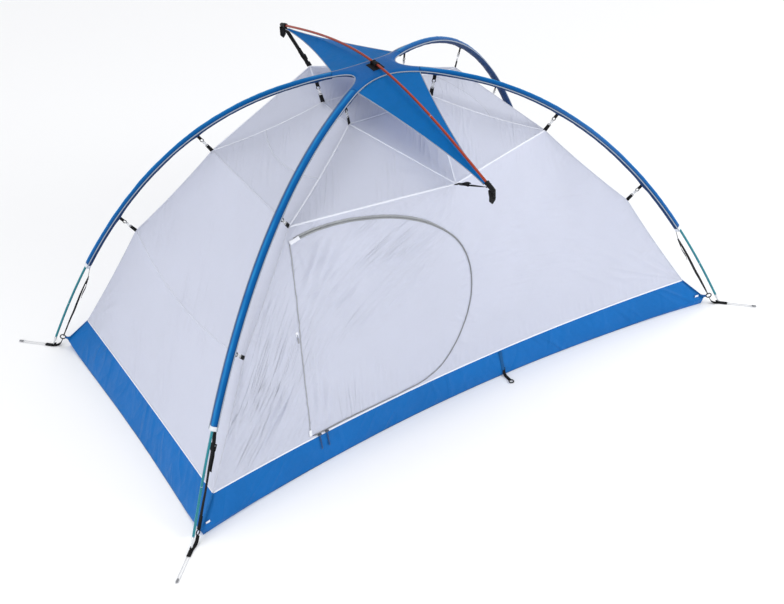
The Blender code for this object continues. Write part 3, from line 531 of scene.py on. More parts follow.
def zip_tape_material():
    """Knitted tape beside the zip's coil."""
    made = Finish("zip_tape", (0.330, 0.345, 0.360), 0.74, Specular_IOR_Level=0.2)
    place = made.coords("UV")
    ribs = made.math("MULTIPLY", made.ripple(place, 0, 0.0012), made.ripple(place, 1, 0.0010))
    tone = made.noise(made.coords("Object"), 25.0, 3.0)
    made.colour(made.mixed(made.ranged(tone, 0.0, 1.0), (0.290, 0.305, 0.325), (0.360, 0.375, 0.390)))
    made.roughness(made.ranged(tone, 0.68, 0.82))
    made.bump(ribs, 0.0002, 0.6)
    return made.material


def coil_material():
    """Zip coil: turns of monofilament side by side, with painted shade between the turns."""
    made = Finish("zip_coil", (0.210, 0.215, 0.225), 0.35)
    turns = made.ripple(made.coords("UV"), 0, 0.0013)
    # painted shade: the darker colour lies in the low places between the turns
    tone = made.ranged(turns, 0.0, 1.0, -0.7, 0.5)
    made.colour(made.mixed(tone, (0.150, 0.155, 0.165), (0.330, 0.340, 0.355)))
    made.roughness(made.ranged(made.noise(made.coords("Object"), 300.0), 0.28, 0.44))
    made.bump(turns, 0.0005, 0.9)
    return made.material


make_camera()
make_studio()
LOOKS = make_materials()

# ---------------------------------------------------------------- numbers and lines


def unit(vectors):
    """Vectors of length one."""
    vectors = np.asarray(vectors, float)
    return vectors / np.maximum(np.linalg.norm(vectors, axis=-1, keepdims=True), 1e-12)


def smooth(value, start, end):
    """0 before start, 1 after end, and a smooth step between."""
    t = np.clip((np.asarray(value, float) - start) / (end - start), 0.0, 1.0)
    return t * t * (3 - 2 * t)


HASH = (374761393, 668265263, 974634777, 1274126177)  # odd multipliers of the noise's integer hash


def noise(x, y=0.0, seed=0):
    """Smooth value noise between -1 and 1, with one cell to a unit."""
    x, y = np.broadcast_arrays(np.asarray(x, float), np.asarray(y, float))
    column, row = np.floor(x).astype(np.int64), np.floor(y).astype(np.int64)
    u, v = x - column, y - row
    u, v = u * u * (3 - 2 * u), v * v * (3 - 2 * v)

    def corner(i, j):
        mixed = ((column + i) * HASH[0] + (row + j) * HASH[1] + seed * HASH[2]) & 0xFFFFFFFF
        mixed = ((mixed ^ (mixed >> 13)) * HASH[3]) & 0xFFFFFFFF
        return ((mixed ^ (mixed >> 16)) & 0xFFFF) / 32767.5 - 1

    low = corner(0, 0) * (1 - u) + corner(1, 0) * u
    high = corner(0, 1) * (1 - u) + corner(1, 1) * u
    return low * (1 - v) + high * v


def lengths(line):
    """Distance along a line at each of its points."""
    return np.concatenate([[0.0], np.cumsum(np.linalg.norm(np.diff(line, axis=0), axis=1))])


def spaced(line, step):
    """Points along a line, about a step apart, with its two ends."""
    line = np.asarray(line, float)
    at = lengths(line)
    wanted = np.linspace(0.0, at[-1], max(2, int(round(at[-1] / step)) + 1))
    return np.stack([np.interp(wanted, at, column) for column in line.T], axis=1)


def filled(line, step):
    """The line's own points, with more between them where they are over a step apart."""
    found = [line[:1]]
    for a, b in zip(line, line[1:]):
        count = max(1, int(math.ceil(np.linalg.norm(b - a) / step)))
        found.append(a + (b - a) * (np.arange(1, count + 1) / count)[:, None])
    return np.concatenate(found)


def curve_through(points, steps):
    """A Catmull-Rom curve through the given points."""
    points = np.asarray(points, float)
    ends = np.concatenate([[2 * points[0] - points[1]], points, [2 * points[-1] - points[-2]]])
    t = (np.arange(steps) / steps)[:, None]
    line = []
    for before, a, b, after in zip(ends, ends[1:], ends[2:], ends[3:]):
        line.append(
            0.5 * (2 * a + (b - before) * t + (2 * before - 5 * a + 4 * b - after) * t**2)
            + 0.5 * (3 * a - 3 * b + after - before) * t**3
        )
    return np.concatenate([*line, points[-1:]])


def sagged(a, b, sag, towards, count=40):
    """A line from a to b that bows towards a direction."""
    t = np.linspace(0.0, 1.0, count)[:, None]
    return a + (b - a) * t + towards * (4 * sag * t * (1 - t))


def chained(*lines):
    """Lines that share their end points, as one."""
    return np.concatenate([lines[0], *[line[1:] for line in lines[1:]]])


def nearest(points, targets):
    """For each point, the index of the nearest target and its distance."""
    index, distance = np.zeros(len(points), int), np.zeros(len(points))
    for start in range(0, len(points), 2000):
        part = slice(start, start + 2000)
        apart = ((points[part, None, :] - targets[None, :, :]) ** 2).sum(axis=2)
        index[part] = apart.argmin(axis=1)
        distance[part] = np.sqrt(apart.min(axis=1))
    return index, distance


def within(points, loops):
    """True for points inside the first loop and outside the others."""
    x, y = points[:, 0], points[:, 1]
    inside = np.zeros(len(points), bool)
    for loop in loops:
        for (x0, y0), (x1, y1) in zip(loop, np.roll(loop, -1, axis=0)):
            if y0 != y1:
                inside ^= ((y0 > y) != (y1 > y)) & (x < (x1 - x0) * (y - y0) / (y1 - y0) + x0)
    return inside


# ---------------------------------------------------------------- pieces


def skin(rows, around=False, ends=False):
    """Points, faces and UVs over rows of points, in metres along and across."""
    n, m = rows.shape[:2]
    columns = m if around else m - 1
    i, j = (k.ravel() for k in np.meshgrid(np.arange(n - 1), np.arange(columns), indexing="ij"))
    after = (j + 1) % m
    faces = np.stack([i * m + j, (i + 1) * m + j, (i + 1) * m + after, i * m + after], axis=1)
    along = lengths(rows.mean(axis=1))
    middle = rows[n // 2]
    girth = lengths(np.concatenate([middle, middle[:1]]))
    low, high = along[i], along[i + 1]
    corners = [(low, girth[j]), (high, girth[j]), (high, girth[j + 1]), (low, girth[j + 1])]
    uvs = np.stack([np.stack(corner, axis=1) for corner in corners], axis=1).reshape(-1, 2).tolist()
    faces = faces.tolist()
    if ends:
        for row, order in ((0, 1), (n - 1, -1)):
            faces.append(list(range(row * m, (row + 1) * m))[::order])
            uvs += [(along[row], girth[k]) for k in range(m)][::order]
    return rows.reshape(-1, 3), faces, uvs


class Piece:
    """Gathers faces with their materials and UVs, then becomes one object on a body."""

    def __init__(self, name):
        self.name = name
        self.points, self.faces, self.uvs, self.slots, self.looks = [], [], [], [], []
        self.count = 0

    def add(self, made, look, closed=True):
        """Adds points, faces and UVs in one look; a closed skin is turned to face outwards."""
        points, faces, uvs = made
        points = np.asarray(points, float)
        if closed and volume(points, faces) < 0:
            uvs = flipped(faces, uvs)
            faces = [face[::-1] for face in faces]
        if look not in self.looks:
            self.looks.append(look)
        self.points.append(points)
        self.faces += [[k + self.count for k in face] for face in faces]
        self.uvs += list(uvs)
        self.slots += [self.looks.index(look)] * len(faces)
        self.count += len(points)
        return self

    def done(self, body="tent", stands_for=(), slot=None, sharp=None, thickness=0.0):
        """Makes the object, and tells the frame its body and the nodes that it replaces. Its slot is not used.
        """
        mesh = bpy.data.meshes.new(self.name)
        mesh.from_pydata(np.concatenate(self.points).tolist(), [], self.faces)
        layer = mesh.uv_layers.new(name="UVMap")
        layer.data.foreach_set("uv", np.asarray(self.uvs, np.float32).ravel())
        for look in self.looks:
            mesh.materials.append(LOOKS[look])
        mesh.polygons.foreach_set("material_index", self.slots)
        mesh.shade_smooth()
        if sharp:
            mesh.set_sharp_from_angle(angle=math.radians(sharp))
        obj = bpy.data.objects.new(self.name, mesh)
        bpy.context.scene.collection.objects.link(obj)
        if thickness:
            modifier = obj.modifiers.new("cloth", "SOLIDIFY")
            modifier.thickness = thickness
            modifier.offset = 0.0
        if body:
            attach(obj, body)
        if stands_for:
            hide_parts(*([stands_for] if isinstance(stands_for, str) else stands_for))
        return obj


def volume(points, faces):
    """Six times the signed volume that closed faces hold."""
    total = 0.0
    for size in {len(face) for face in faces}:
        block = np.array([face for face in faces if len(face) == size])
        for k in range(1, size - 1):
            a, b, c = points[block[:, 0]], points[block[:, k]], points[block[:, k + 1]]
            total += float((a * np.cross(b, c)).sum())
    return total


def flipped(faces, uvs):
    """The UVs of faces whose corners are taken in reverse."""
    found, at = [], 0
    for face in faces:
        found += list(uvs[at : at + len(face)])[::-1]
        at += len(face)
    return found


def swept(path, section, up, scale=1.0, ends=True):
    """A closed section of (across, up) pairs carried along a path: one section, or one for each point."""
    path = np.asarray(path, float)
    along = unit(np.gradient(path, axis=0))
    up = np.broadcast_to(np.asarray(up, float), path.shape)
    across = unit(np.cross(along, up))
    up = np.cross(across, along)
    section = np.broadcast_to(section, (len(path), *np.asarray(section).shape[-2:]))
    section = section * np.broadcast_to(scale, len(path)).reshape(-1, 1, 1)
    rows = path[:, None] + section[..., :1] * across[:, None] + section[..., 1:] * up[:, None]
    return skin(rows, around=True, ends=ends)


def disc(radius, sides=14, flat=1.0):
    """A round section, or an oval one."""
    angles = np.arange(sides) * math.tau / sides
    return np.stack([radius * np.cos(angles), radius * flat * np.sin(angles)], axis=1)


def slab(width, thickness, corner=0.4):
    """A flat section with its corners cut, wide across and thin up."""
    w, t = width / 2, thickness / 2
    c = thickness * corner
    half = [(-w + c, -t), (-w / 3, -t), (w / 3, -t), (w - c, -t), (w, -t + c)]
    return np.array(half + [(-x, -y) for x, y in half])


STRAP_STEP = 0.004  # between a strap's sections
WAVE_LENGTH = 0.045  # of a slack strap


def rounded_path(points, radius, steps=6):
    """Straight runs joined by short curves."""
    points = np.asarray(points, float)
    line = [points[:1]]
    for before, at, after in zip(points, points[1:], points[2:]):
        a = at + unit(before - at) * min(radius, np.linalg.norm(before - at) * 0.48)
        b = at + unit(after - at) * min(radius, np.linalg.norm(after - at) * 0.48)
        t = np.linspace(0.0, 1.0, steps)[:, None]
        line.append(a * (1 - t) ** 2 + at * 2 * t * (1 - t) + b * t**2)
    line.append(points[-1:])
    return np.concatenate(line)


def strap(piece, points, across, width, thickness=0.0016, look="webbing", radius=0.006, wave=0.0, twist=0.0):
    """Webbing along a route of straight runs with rounded turns; across is the direction of its width.

    It waves out of its plane and turns about its length, most in the middle and not at its ends.
    """
    path = spaced(rounded_path(points, radius), STRAP_STEP)
    along = unit(np.gradient(path, axis=0))
    up = unit(np.cross(np.broadcast_to(across, path.shape), along))
    at = lengths(path)
    fade = np.sin(np.pi * at / at[-1])[:, None]
    if twist:
        turn = twist * fade**0.5
        up = up * np.cos(turn) + np.cross(along, up) * np.sin(turn)
    if wave:
        path = path + up * (wave * fade * noise(at / WAVE_LENGTH, seed=5)[:, None])
    piece.add(swept(path, slab(width, thickness), up), look)


def placed(matrix, points):
    """Points carried by a matrix."""
    matrix = np.array(matrix)
    return np.asarray(points) @ matrix[:3, :3].T + matrix[:3, 3]


def frame_at(origin, x_axis, y_axis):
    """A matrix that carries the XY plane onto the plane of two directions through a point."""
    x_axis = unit(x_axis)
    z_axis = unit(np.cross(x_axis, y_axis))
    matrix = np.eye(4)
    matrix[:3, 0], matrix[:3, 1], matrix[:3, 2] = x_axis, np.cross(z_axis, x_axis), z_axis
    matrix[:3, 3] = origin
    return matrix


def plate(outline, thickness, matrix, holes=(), edge=0.0005):
    """A flat moulded plate with rounded edges and holes."""
    curve = bpy.data.curves.new("plate", "CURVE")
    curve.dimensions = "2D"
    curve.fill_mode = "BOTH"
    curve.extrude = thickness / 2 - edge
    curve.bevel_depth = edge
    curve.bevel_resolution = 2
    curve.offset = -edge
    for points in (outline, *holes):
        spline = curve.splines.new("POLY")
        spline.points.add(len(points) - 1)
        for k, (x, y) in enumerate(points):
            spline.points[k].co = (x, y, 0.0, 1.0)
        spline.use_cyclic_u = True
    obj = bpy.data.objects.new("plate", curve)
    bpy.context.scene.collection.objects.link(obj)
    bpy.context.view_layer.update()
    mesh = bpy.data.meshes.new_from_object(obj.evaluated_get(bpy.context.evaluated_depsgraph_get()))
    points = np.array([v.co for v in mesh.vertices])
    faces = [list(p.vertices) for p in mesh.polygons]
    bpy.data.objects.remove(obj)
    bpy.data.meshes.remove(mesh)
    flat = [tuple(points[k, :2]) for face in faces for k in face]
    return placed(matrix, points), faces, flat


RING_SECTIONS = 28


def arc(centre, radius, start, end, steps):
    """Points on a circle between two angles in degrees."""
    angles = np.radians(np.linspace(start, end, steps))
    return [(centre[0] + radius * math.cos(a), centre[1] + radius * math.sin(a)) for a in angles]


def other_half(outline, across=True):
    """An outline's half with its mirror image; a point on the mirror's line is not repeated."""
    flip = (-1, 1) if across else (1, -1)
    points = [(x * flip[0], y * flip[1]) for x, y in reversed(outline)]
    return outline + [point for point in points if point not in outline[-1:]]


def rounded_box(width, height, radius, steps=4):
    """A rounded rectangle's outline."""
    outline = []
    for sx, sy, turn in ((1, 1, 0), (-1, 1, 90), (-1, -1, 180), (1, -1, 270)):
        centre = (sx * (width / 2 - radius), sy * (height / 2 - radius))
        outline += arc(centre, radius, turn, turn + 90, steps)
    return outline


def loop_ring(piece, centre, radius, wire, normal, look, stretch=1.0):
    """A ring of round wire about an axis, or a link if it is stretched."""
    side = unit(np.cross(normal, UP if abs(normal[2]) < 0.9 else X_AXIS))
    other = np.cross(normal, side)
    angles = np.arange(RING_SECTIONS)[:, None] * math.tau / RING_SECTIONS
    outward = np.cos(angles) * side + stretch * np.sin(angles) * other
    section = disc(wire, 10)
    middles = (centre + radius * outward)[:, None]
    rows = middles + section[:, :1] * unit(outward)[:, None] + section[:, 1:] * normal
    points, faces, uvs = skin(np.concatenate([rows, rows[:1]]), around=True)
    count = RING_SECTIONS * len(section)
    piece.add((points[:count], [[k % count for k in face] for face in faces], uvs), look)


def turned(piece, path, radii, look, sides, up):
    """A round bar along a path, whose radius may change."""
    piece.add(swept(path, disc(1.0, sides), up, scale=radii), look)


def cut_from(line, at):
    """Points of a line at distances along it."""
    along = lengths(line)
    return np.stack([np.interp(at, along, line[:, k]) for k in range(3)], axis=1)


# ---------------------------------------------------------------- where things are


def leg_directions(leg):
    """Outwards along the leg's plan diagonal, and across it."""
    sx, sy = LEGS[leg]
    outwards = np.array((sx * TIP_X, sy * TIP_Y, 0.0)) / TIP_R
    return outwards, np.cross(outwards, UP)


def arch_points(t):
    """The pole's arch as distance from the crossing and height, from the crossing to the tip."""
    t = np.asarray(t, float)[:, None]
    crown, handle = np.array((0.0, CROWN_Z)), np.array((CROWN_HANDLE_R, CROWN_Z))
    leg, tip = np.array(LEG_HANDLE), np.array((TIP_R, TIP_Z))
    return (1 - t) ** 3 * crown + 3 * t * (1 - t) ** 2 * handle + 3 * t**2 * (1 - t) * leg + t**3 * tip


ARCH = arch_points(np.linspace(0.0, 1.0, 400))


def arch_z(r):
    """The arch's height at a distance from the crossing."""
    return np.interp(r, ARCH[:, 0], ARCH[:, 1])


def crossing_bump(r):
    """1 at the crossing, falling smoothly to 0 at the ends of the hub's arms."""
    return (1 - np.minimum(np.abs(r) / HUB_ARM_R, 1.0) ** 2) ** 2


def leg_stations(leg, r):
    """On the pole's centre line: points, directions down the leg, and outward normals."""
    r = np.atleast_1d(np.asarray(r, float))
    outwards, _ = leg_directions(leg)
    step = 0.004
    slope = ((arch_z(r + step) - arch_z(r - step)) / (2 * step))[:, None]
    points = outwards * r[:, None] + UP * arch_z(r)[:, None]
    return points, unit(outwards + UP * slope), unit(UP - slope * outwards)


def mirrored(point, leg):
    """A point of the back right quarter, in the leg's own quarter."""
    sx, sy = LEGS[leg]
    return np.array((sx * point[0], sy * point[1], point[2]))


def in_leg_plane(leg, r, z):
    """A point of the upright plane that holds the leg's pole."""
    outwards, _ = leg_directions(leg)
    return outwards * r + UP * z


def peak(side):
    """Where the ridge pole's strap lifts the canopy on one side."""
    return np.array((PEAK[0], side * PEAK[1], PEAK[2]))


def tub_top_y(x):
    """How far out the tub's top edge is on the long sides."""
    return TUB_TOP_MID_Y + (TUB_TOP_CORNER[1] - TUB_TOP_MID_Y) * (x / TUB_TOP_CORNER[0]) ** 2


def tub_top_x(y):
    """How far out the tub's top edge is at the ends."""
    return TUB_TOP_MID_X + (TUB_TOP_CORNER[0] - TUB_TOP_MID_X) * (y / TUB_TOP_CORNER[1]) ** 2


def leg_edge(leg):
    """The canopy's edge up a leg, from the tub's corner over the low clip to the middle one."""
    outwards, _ = leg_directions(leg)
    inwards = unit(-outwards - 0.6 * UP)
    corner, low, middle = (mirrored(p, leg) for p in (TUB_TOP_CORNER, CANOPY_CLIPS[2], CANOPY_CLIPS[1]))
    return chained(sagged(corner, low, EDGE_SAG / 3, inwards), sagged(low, middle, EDGE_SAG / 2, inwards))


def legs_of(side):
    """The left and right leg of a long side."""
    return ("front_left", "front_right") if side < 0 else ("back_left", "back_right")


def end_legs_of(side):
    """The front and back leg of an end."""
    return ("front_left", "back_left") if side < 0 else ("front_right", "back_right")


def roof_edge(side):
    """The roof's edge on one side, from the left middle clip over both top clips to the right one."""
    left, right = legs_of(side)
    places = ((1, left), (0, left), (0, right), (1, right))
    stops = [mirrored(CANOPY_CLIPS[clip], leg) for clip, leg in places]
    sags = (EDGE_SAG, EDGE_SAG / 2, EDGE_SAG)
    return chained(*[sagged(a, b, sag, -UP) for a, b, sag in zip(stops, stops[1:], sags)])


def ridge_z(y):
    """Height of the ridge pole's centre line: bent like a beam over the crossing."""
    s = np.minimum(np.abs(y) / RIDGE_HALF, 1.02)
    return RIDGE_CROWN_Z - RIDGE_DROP * (3 * s**2 - s**3) / 2


def guy_direction(leg):
    """The corner cord's direction along the ground."""
    sx, sy = LEGS[leg]
    return np.array((sx * math.cos(GUY_TURN), sy * math.sin(GUY_TURN), 0.0))


# ---------------------------------------------------------------- corner cords


def guy_route(leg):
    """The doubled cord: out along the ground from the strap's end, round a tight turn and back."""
    away = guy_direction(leg)
    aside = np.cross(away, UP)
    tip = in_leg_plane(leg, TIP_R, 0.0)
    up = UP * (GUY_RADIUS + 0.0002)
    reach = GUY_REACH - GUY_RADIUS
    start = GUY_TAB + 0.0040
    along = (start, start + 0.05, reach - 0.018, reach - 0.0047, reach - 0.0014, reach)
    half = (0.0048, 0.0045, 0.0048, 0.0047, 0.0033, 0.0)
    out = [tip + up + away * d + aside * h for d, h in zip(along, half)]
    back = [tip + up + away * d - aside * h for d, h in zip(along[-2::-1], half[-2::-1])]
    return curve_through(np.array(out + back), 4)


def guy_cord(leg):
    """The braided cord and the moulded end that grips both its strands."""
    route = guy_route(leg)
    cord = Piece(f"guy_cord_{leg}_braid")
    cord.add(swept(route, disc(GUY_RADIUS, 10), UP), "guy")
    cord = cord.done("tent", f"guy_cord_{leg}", "guy_cord")
    away = guy_direction(leg)
    end = in_leg_plane(leg, TIP_R, 0.0) + away * (GUY_REACH - 0.011)
    lock = Piece(f"guy_cord_end_{leg}")
    at = np.linspace(-1.0, 1.0, 15)
    path = end + UP * 0.0040 + away * (at[:, None] * 0.0085)
    body = 0.0036 * np.sqrt(np.maximum(1 - at**6, 0.02)) * (1.0 + 0.10 * np.cos(at * 9))
    section = disc(1.0, 16, 0.85)
    lock.add(swept(path, section, UP, scale=body), "guy_end")
    lock = lock.done("tent", slot="guy_cord")


for leg_name in LEGS:
    guy_cord(leg_name)

# ---------------------------------------------------------------- canopy panels


ROW_HEIGHT = 0.866  # of a lattice of equal triangles, for a side of one
LATTICE_GAP = 0.6  # spacings that the lattice keeps from every edge


def triangulated(loops, lines, spacing):
    """Points and triangles inside the first loop, with every loop and line kept as edges."""
    points, edges, count = [], [], 0
    for loop in loops:
        loop = filled(np.concatenate([loop, loop[:1]]), spacing)[:-1]
        points.append(loop)
        edges += [(count + k, count + (k + 1) % len(loop)) for k in range(len(loop))]
        count += len(loop)
    for line in lines:
        line = filled(line, spacing)
        points.append(line)
        edges += [(count + k, count + k + 1) for k in range(len(line) - 1)]
        count += len(line)
    kept = np.concatenate(points)
    low, high = loops[0].min(axis=0), loops[0].max(axis=0)
    lattice = []
    for k, v in enumerate(np.arange(low[1], high[1], spacing * ROW_HEIGHT)):
        u = np.arange(low[0] + (k % 2) * spacing / 2, high[0], spacing)
        lattice.append(np.stack([u, np.full(len(u), v)], axis=1))
    lattice = np.concatenate(lattice)
    lattice = lattice[within(lattice, loops[:1])]
    _, apart = nearest(lattice, kept)
    every = np.concatenate([kept, lattice[apart > LATTICE_GAP * spacing]])
    made = delaunay_2d_cdt([Vector(p) for p in every], edges, [], 0, 1e-6)
    points = np.array([tuple(v) for v in made[0]])
    faces = np.array(made[2])
    faces = faces[within(points[faces].mean(axis=1), loops[:1])]
    return points, faces


SOLVER_STEPS = 1500
SOLVER_REST = 1e-12  # the squared error at which it stops


def membrane(faces, fixed, heights, target=None, hold=0.0):
    """Heights that leave each free point at its neighbours' mean, drawn towards a target.

    The heights are found by conjugate gradients.
    """
    pairs = np.concatenate([faces[:, [0, 1]], faces[:, [1, 2]], faces[:, [2, 0]]])
    a, b = np.unique(np.sort(pairs, axis=1), axis=0).T
    count = len(heights)
    free = ~fixed

    def stretch(values):
        pull = values[a] - values[b]
        return (np.bincount(a, pull, count) - np.bincount(b, pull, count) + hold * values) * free

    target = np.full(count, heights[fixed].mean()) if target is None else target
    heights = np.where(fixed, heights, target)
    rest = hold * target * free - stretch(heights)
    step, size = rest.copy(), float(rest @ rest)
    for _ in range(SOLVER_STEPS):
        if size < SOLVER_REST:
            break
        pulled = stretch(step)
        share = size / float(step @ pulled)
        heights = heights + share * step
        rest = rest - share * pulled
        new_size = float(rest @ rest)
        step, size = rest + (new_size / size) * step, new_size
    return heights


CREASE_SOFTNESS = 0.070  # over which a long wall's ruled surface is rounded
SEAM_STEP = 0.003  # between the points at which seams are measured
ON_SEAM = 0.0019  # a point this near a seam is held by it


class Panel:
    """A canopy panel as heights over one plane of the frame, then as points with folds."""

    def __init__(self, plane, height_axis, side, border, lines=(), cuts=(), spacing=SPACING, target=None):
        self.plane, self.height_axis, self.side = list(plane), height_axis, side
        edge, *seams = (line[:, self.plane] for line in (border, *lines))
        self.flat, self.faces = triangulated([edge, *cuts], seams, spacing)
        rim = filled(np.concatenate([border, border[:1]]), SEAM_STEP)
        known = np.concatenate([rim, *[filled(line, SEAM_STEP) for line in lines]])
        which, self.seam_gap = nearest(self.flat, known[:, self.plane])
        along_rim, self.border_gap = nearest(self.flat, rim[:, self.plane])
        self.border_place = along_rim * SEAM_STEP
        aim, hold = (target(self.flat), 1.5 * (spacing / CREASE_SOFTNESS) ** 2) if target else (None, 0.0)
        self.points = np.zeros((len(self.flat), 3))
        self.points[:, self.plane] = self.flat
        held = self.seam_gap < ON_SEAM
        self.points[:, height_axis] = membrane(self.faces, held, known[which, height_axis], aim, hold)
        self.turn_outwards()

    def turn_outwards(self):
        """Turns each triangle to face out and finds each point's normal."""
        a, b, c = (self.points[self.faces[:, k]] for k in range(3))
        normals = np.cross(b - a, c - a)
        wrong = normals[:, self.height_axis] * self.side < 0
        self.faces[wrong] = self.faces[wrong][:, ::-1]
        normals[wrong] *= -1
        total = np.zeros_like(self.points)
        for k in range(3):
            for axis in range(3):
                total[:, axis] += np.bincount(self.faces[:, k], normals[:, axis], len(self.points))
        self.normals = unit(total)

    def fold(self, heights, fade=0.012):
        """Moves the cloth out along its normals, less and less towards its seams."""
        held = smooth(self.seam_gap, 0.0, fade)
        self.points = self.points + self.normals * (heights * held)[:, None]
        self.turn_outwards()
        return self

    def tree(self):
        return BVHTree.FromPolygons(self.points.tolist(), self.faces.tolist())

    def part(self, chosen=slice(None)):
        """Points, faces and UVs of all the triangles, or of some."""
        faces = self.faces[chosen]
        used, index = np.unique(faces, return_inverse=True)
        faces = index.reshape(-1, 3)
        flat = self.flat[used]
        return self.points[used], faces.tolist(), flat[faces.ravel()].tolist()


def cloth_piece(node, made, body="tent", look="canopy"):
    """A canopy panel that takes the place of a node."""
    piece = Piece(f"{node}_cloth").add(made, look, closed=False)
    obj = piece.done(body, node, "canopy_fabric", thickness=CLOTH)
    return obj


# ---------------------------------------------------------------- folds, as heights over a panel's own plane

TUB_IN_WALL, TUB_IN_END = TUB_TOP_CORNER[[0, 2]], TUB_TOP_CORNER[1:]
PEAK_IN_WALL = PEAK[[0, 2]]
CLIPS_IN_PLAN = CANOPY_CLIPS[:2, :2]  # the top and the middle one
CLIPS_IN_WALL, CLIPS_IN_END = CANOPY_CLIPS[:, [0, 2]], CANOPY_CLIPS[:, 1:]
MIRROR = np.array((-1.0, 1.0))
DIAGONAL = (-0.82, -0.57)  # from the peak down to the left corner


def local(points, centre, direction):
    """Distances along and across a direction from a centre."""
    direction = unit(direction)
    offset = points - np.asarray(centre)
    return offset @ direction, offset @ np.array((-direction[1], direction[0]))


def ridges(wave):
    """Sharpens a smooth wave into narrow ridges between wide, shallow valleys."""
    return np.maximum(wave, 0.0) ** 1.6 - 0.35 * np.maximum(-wave, 0.0)


def combed(points, centre, direction, reach, spacing, length, height, seed):
    """Parallel folds inside an ellipse: each wanders, starts and stops."""
    along, across = local(points, centre, direction)
    inside = 1 - smooth(np.hypot(along / reach[0], across / reach[1]), 0.45, 1.0)
    wander = across + 0.25 * spacing * noise(along / (1.4 * length), across / 0.09, seed + 50)
    wave = noise(wander / spacing, along / length, seed)
    return height * inside * ridges(wave)


def fan(points, apex, facing, spread, reach, folds, height, seed):
    """Folds that run out from a corner where the cloth is pulled."""
    offset = points - np.asarray(apex)
    distance = np.linalg.norm(offset, axis=1)
    angle = np.arctan2(offset[:, 1], offset[:, 0]) - math.atan2(facing[1], facing[0])
    angle = (angle + math.pi) % math.tau - math.pi
    inside = (1 - smooth(np.abs(angle) / spread, 0.6, 1.0)) * (1 - smooth(distance / reach, 0.35, 1.0))
    rise = smooth(distance, 0.0, 0.10 * reach)
    wave = noise(angle / (2 * spread) * folds, distance / (0.7 * reach), seed)
    return height * inside * rise * ridges(wave)


def stroke(points, start, end, width, height):
    """One fold from start to end."""
    start, end = np.asarray(start, float), np.asarray(end, float)
    along, across = local(points, start, end - start)
    share = along / np.linalg.norm(end - start)
    taper = np.clip(share * (1 - share) * 4, 0.0, 1.0) ** 0.8
    return height * taper * np.exp(-((across / width) ** 2) / 2)


def gathers(gap, place, reach, spacing, height, seed):
    """Puckers along a seam: gap is the distance to it and place the distance along it."""
    puckers = ridges(noise(place / spacing, gap / (2.5 * reach), seed))
    return height * (gap / reach) * np.exp(1 - gap / reach) * puckers


def slack(points, height, seed, cell=0.16):
    """The slow rise and fall of cloth that isn't quite flat."""
    return height * (noise(points[:, 0] / cell, points[:, 1] / cell, seed) + 0.5 * noise(
        points[:, 0] * 2.3 / cell, points[:, 1] * 2.3 / cell, seed + 9
    ))


def crumple(points, height, seed):
    """Faint small creases in every direction."""
    return height * (
        ridges(noise(points[:, 0] / 0.034 + 0.5 * points[:, 1] / 0.034, points[:, 1] / 0.070, seed))
        + ridges(noise(points[:, 0] / 0.062, points[:, 1] / 0.030 - 0.4 * points[:, 0] / 0.030, seed + 3))
    )


# ---------------------------------------------------------------- where the panels' edges run

CLIP_AT = {leg: [mirrored(p, leg) for p in CANOPY_CLIPS] for leg in LEGS}
LEG_EDGES = {leg: leg_edge(leg) for leg in LEGS}
ROOF_EDGES = {side: roof_edge(side) for side in (-1, 1)}
TUB_CLOTH_Z = TUB_TOP_CORNER[2]


def tub_line(side, long_side):
    """The tub's top edge along one side."""
    if long_side:
        x = np.linspace(-TUB_TOP_CORNER[0], TUB_TOP_CORNER[0], 121)
        return np.stack([x, side * tub_top_y(x), np.full(len(x), TUB_CLOTH_Z)], axis=1)
    y = np.linspace(-TUB_TOP_CORNER[1], TUB_TOP_CORNER[1], 81)
    return np.stack([side * tub_top_x(y), y, np.full(len(y), TUB_CLOTH_Z)], axis=1)


def straight(a, b, count=60):
    """Points along a straight line."""
    return a + (b - a) * np.linspace(0.0, 1.0, count)[:, None]


def low_seam(side):
    """Across an end wall between the low clips, bowed down and out in the middle."""
    front, back = end_legs_of(side)
    line = straight(CLIP_AT[front][2], CLIP_AT[back][2])
    bow = 1 - (line[:, 1:2] / CANOPY_CLIPS[2][1]) ** 2
    return line + bow * np.array((side * 0.022, 0.0, -0.065))


def roof_cross_seam(side):
    """Across the roof between its edges, halfway between the clips, bowed towards the end."""
    ends = []
    for edge in (ROOF_EDGES[-1], ROOF_EDGES[1]):
        wanted = side * (CANOPY_CLIPS[0][0] + CANOPY_CLIPS[1][0]) / 2
        ends.append(edge[np.abs(edge[:, 0] - wanted).argmin()])
    line = straight(*ends)
    bow = 1 - (line[:, 1:2] / ends[1][1]) ** 2
    return line + bow * np.array((side * 0.045, 0.0, -0.019))


LOW_SEAMS = {side: low_seam(side) for side in (-1, 1)}
ROOF_CROSS = {side: roof_cross_seam(side) for side in (-1, 1)}
TOP_SEAMS, END_SEAMS = (
    {side: straight(*[CLIP_AT[leg][clip] for leg in end_legs_of(side)]) for side in (-1, 1)} for clip in (0, 1)
)
PEAK_SEAMS = {leg: straight(CLIP_AT[leg][1], peak(LEGS[leg][1])) for leg in LEGS}
TOP_TO_PEAK = {leg: straight(CLIP_AT[leg][0], peak(LEGS[leg][1])) for leg in LEGS}


def wall_top(side):
    """A long wall's upper edge, from the left foot over the peak to the right foot."""
    left, right = legs_of(side)
    return chained(LEG_EDGES[left], PEAK_SEAMS[left], PEAK_SEAMS[right][::-1], LEG_EDGES[right][::-1])


def wall_border(side):
    """The closed border of a long wall."""
    left, right = legs_of(side)
    up, down = (LEG_EDGES[right], PEAK_SEAMS[right]), (PEAK_SEAMS[left][::-1], LEG_EDGES[left][::-1])
    return chained(tub_line(side, True), *up, *down)[:-1]


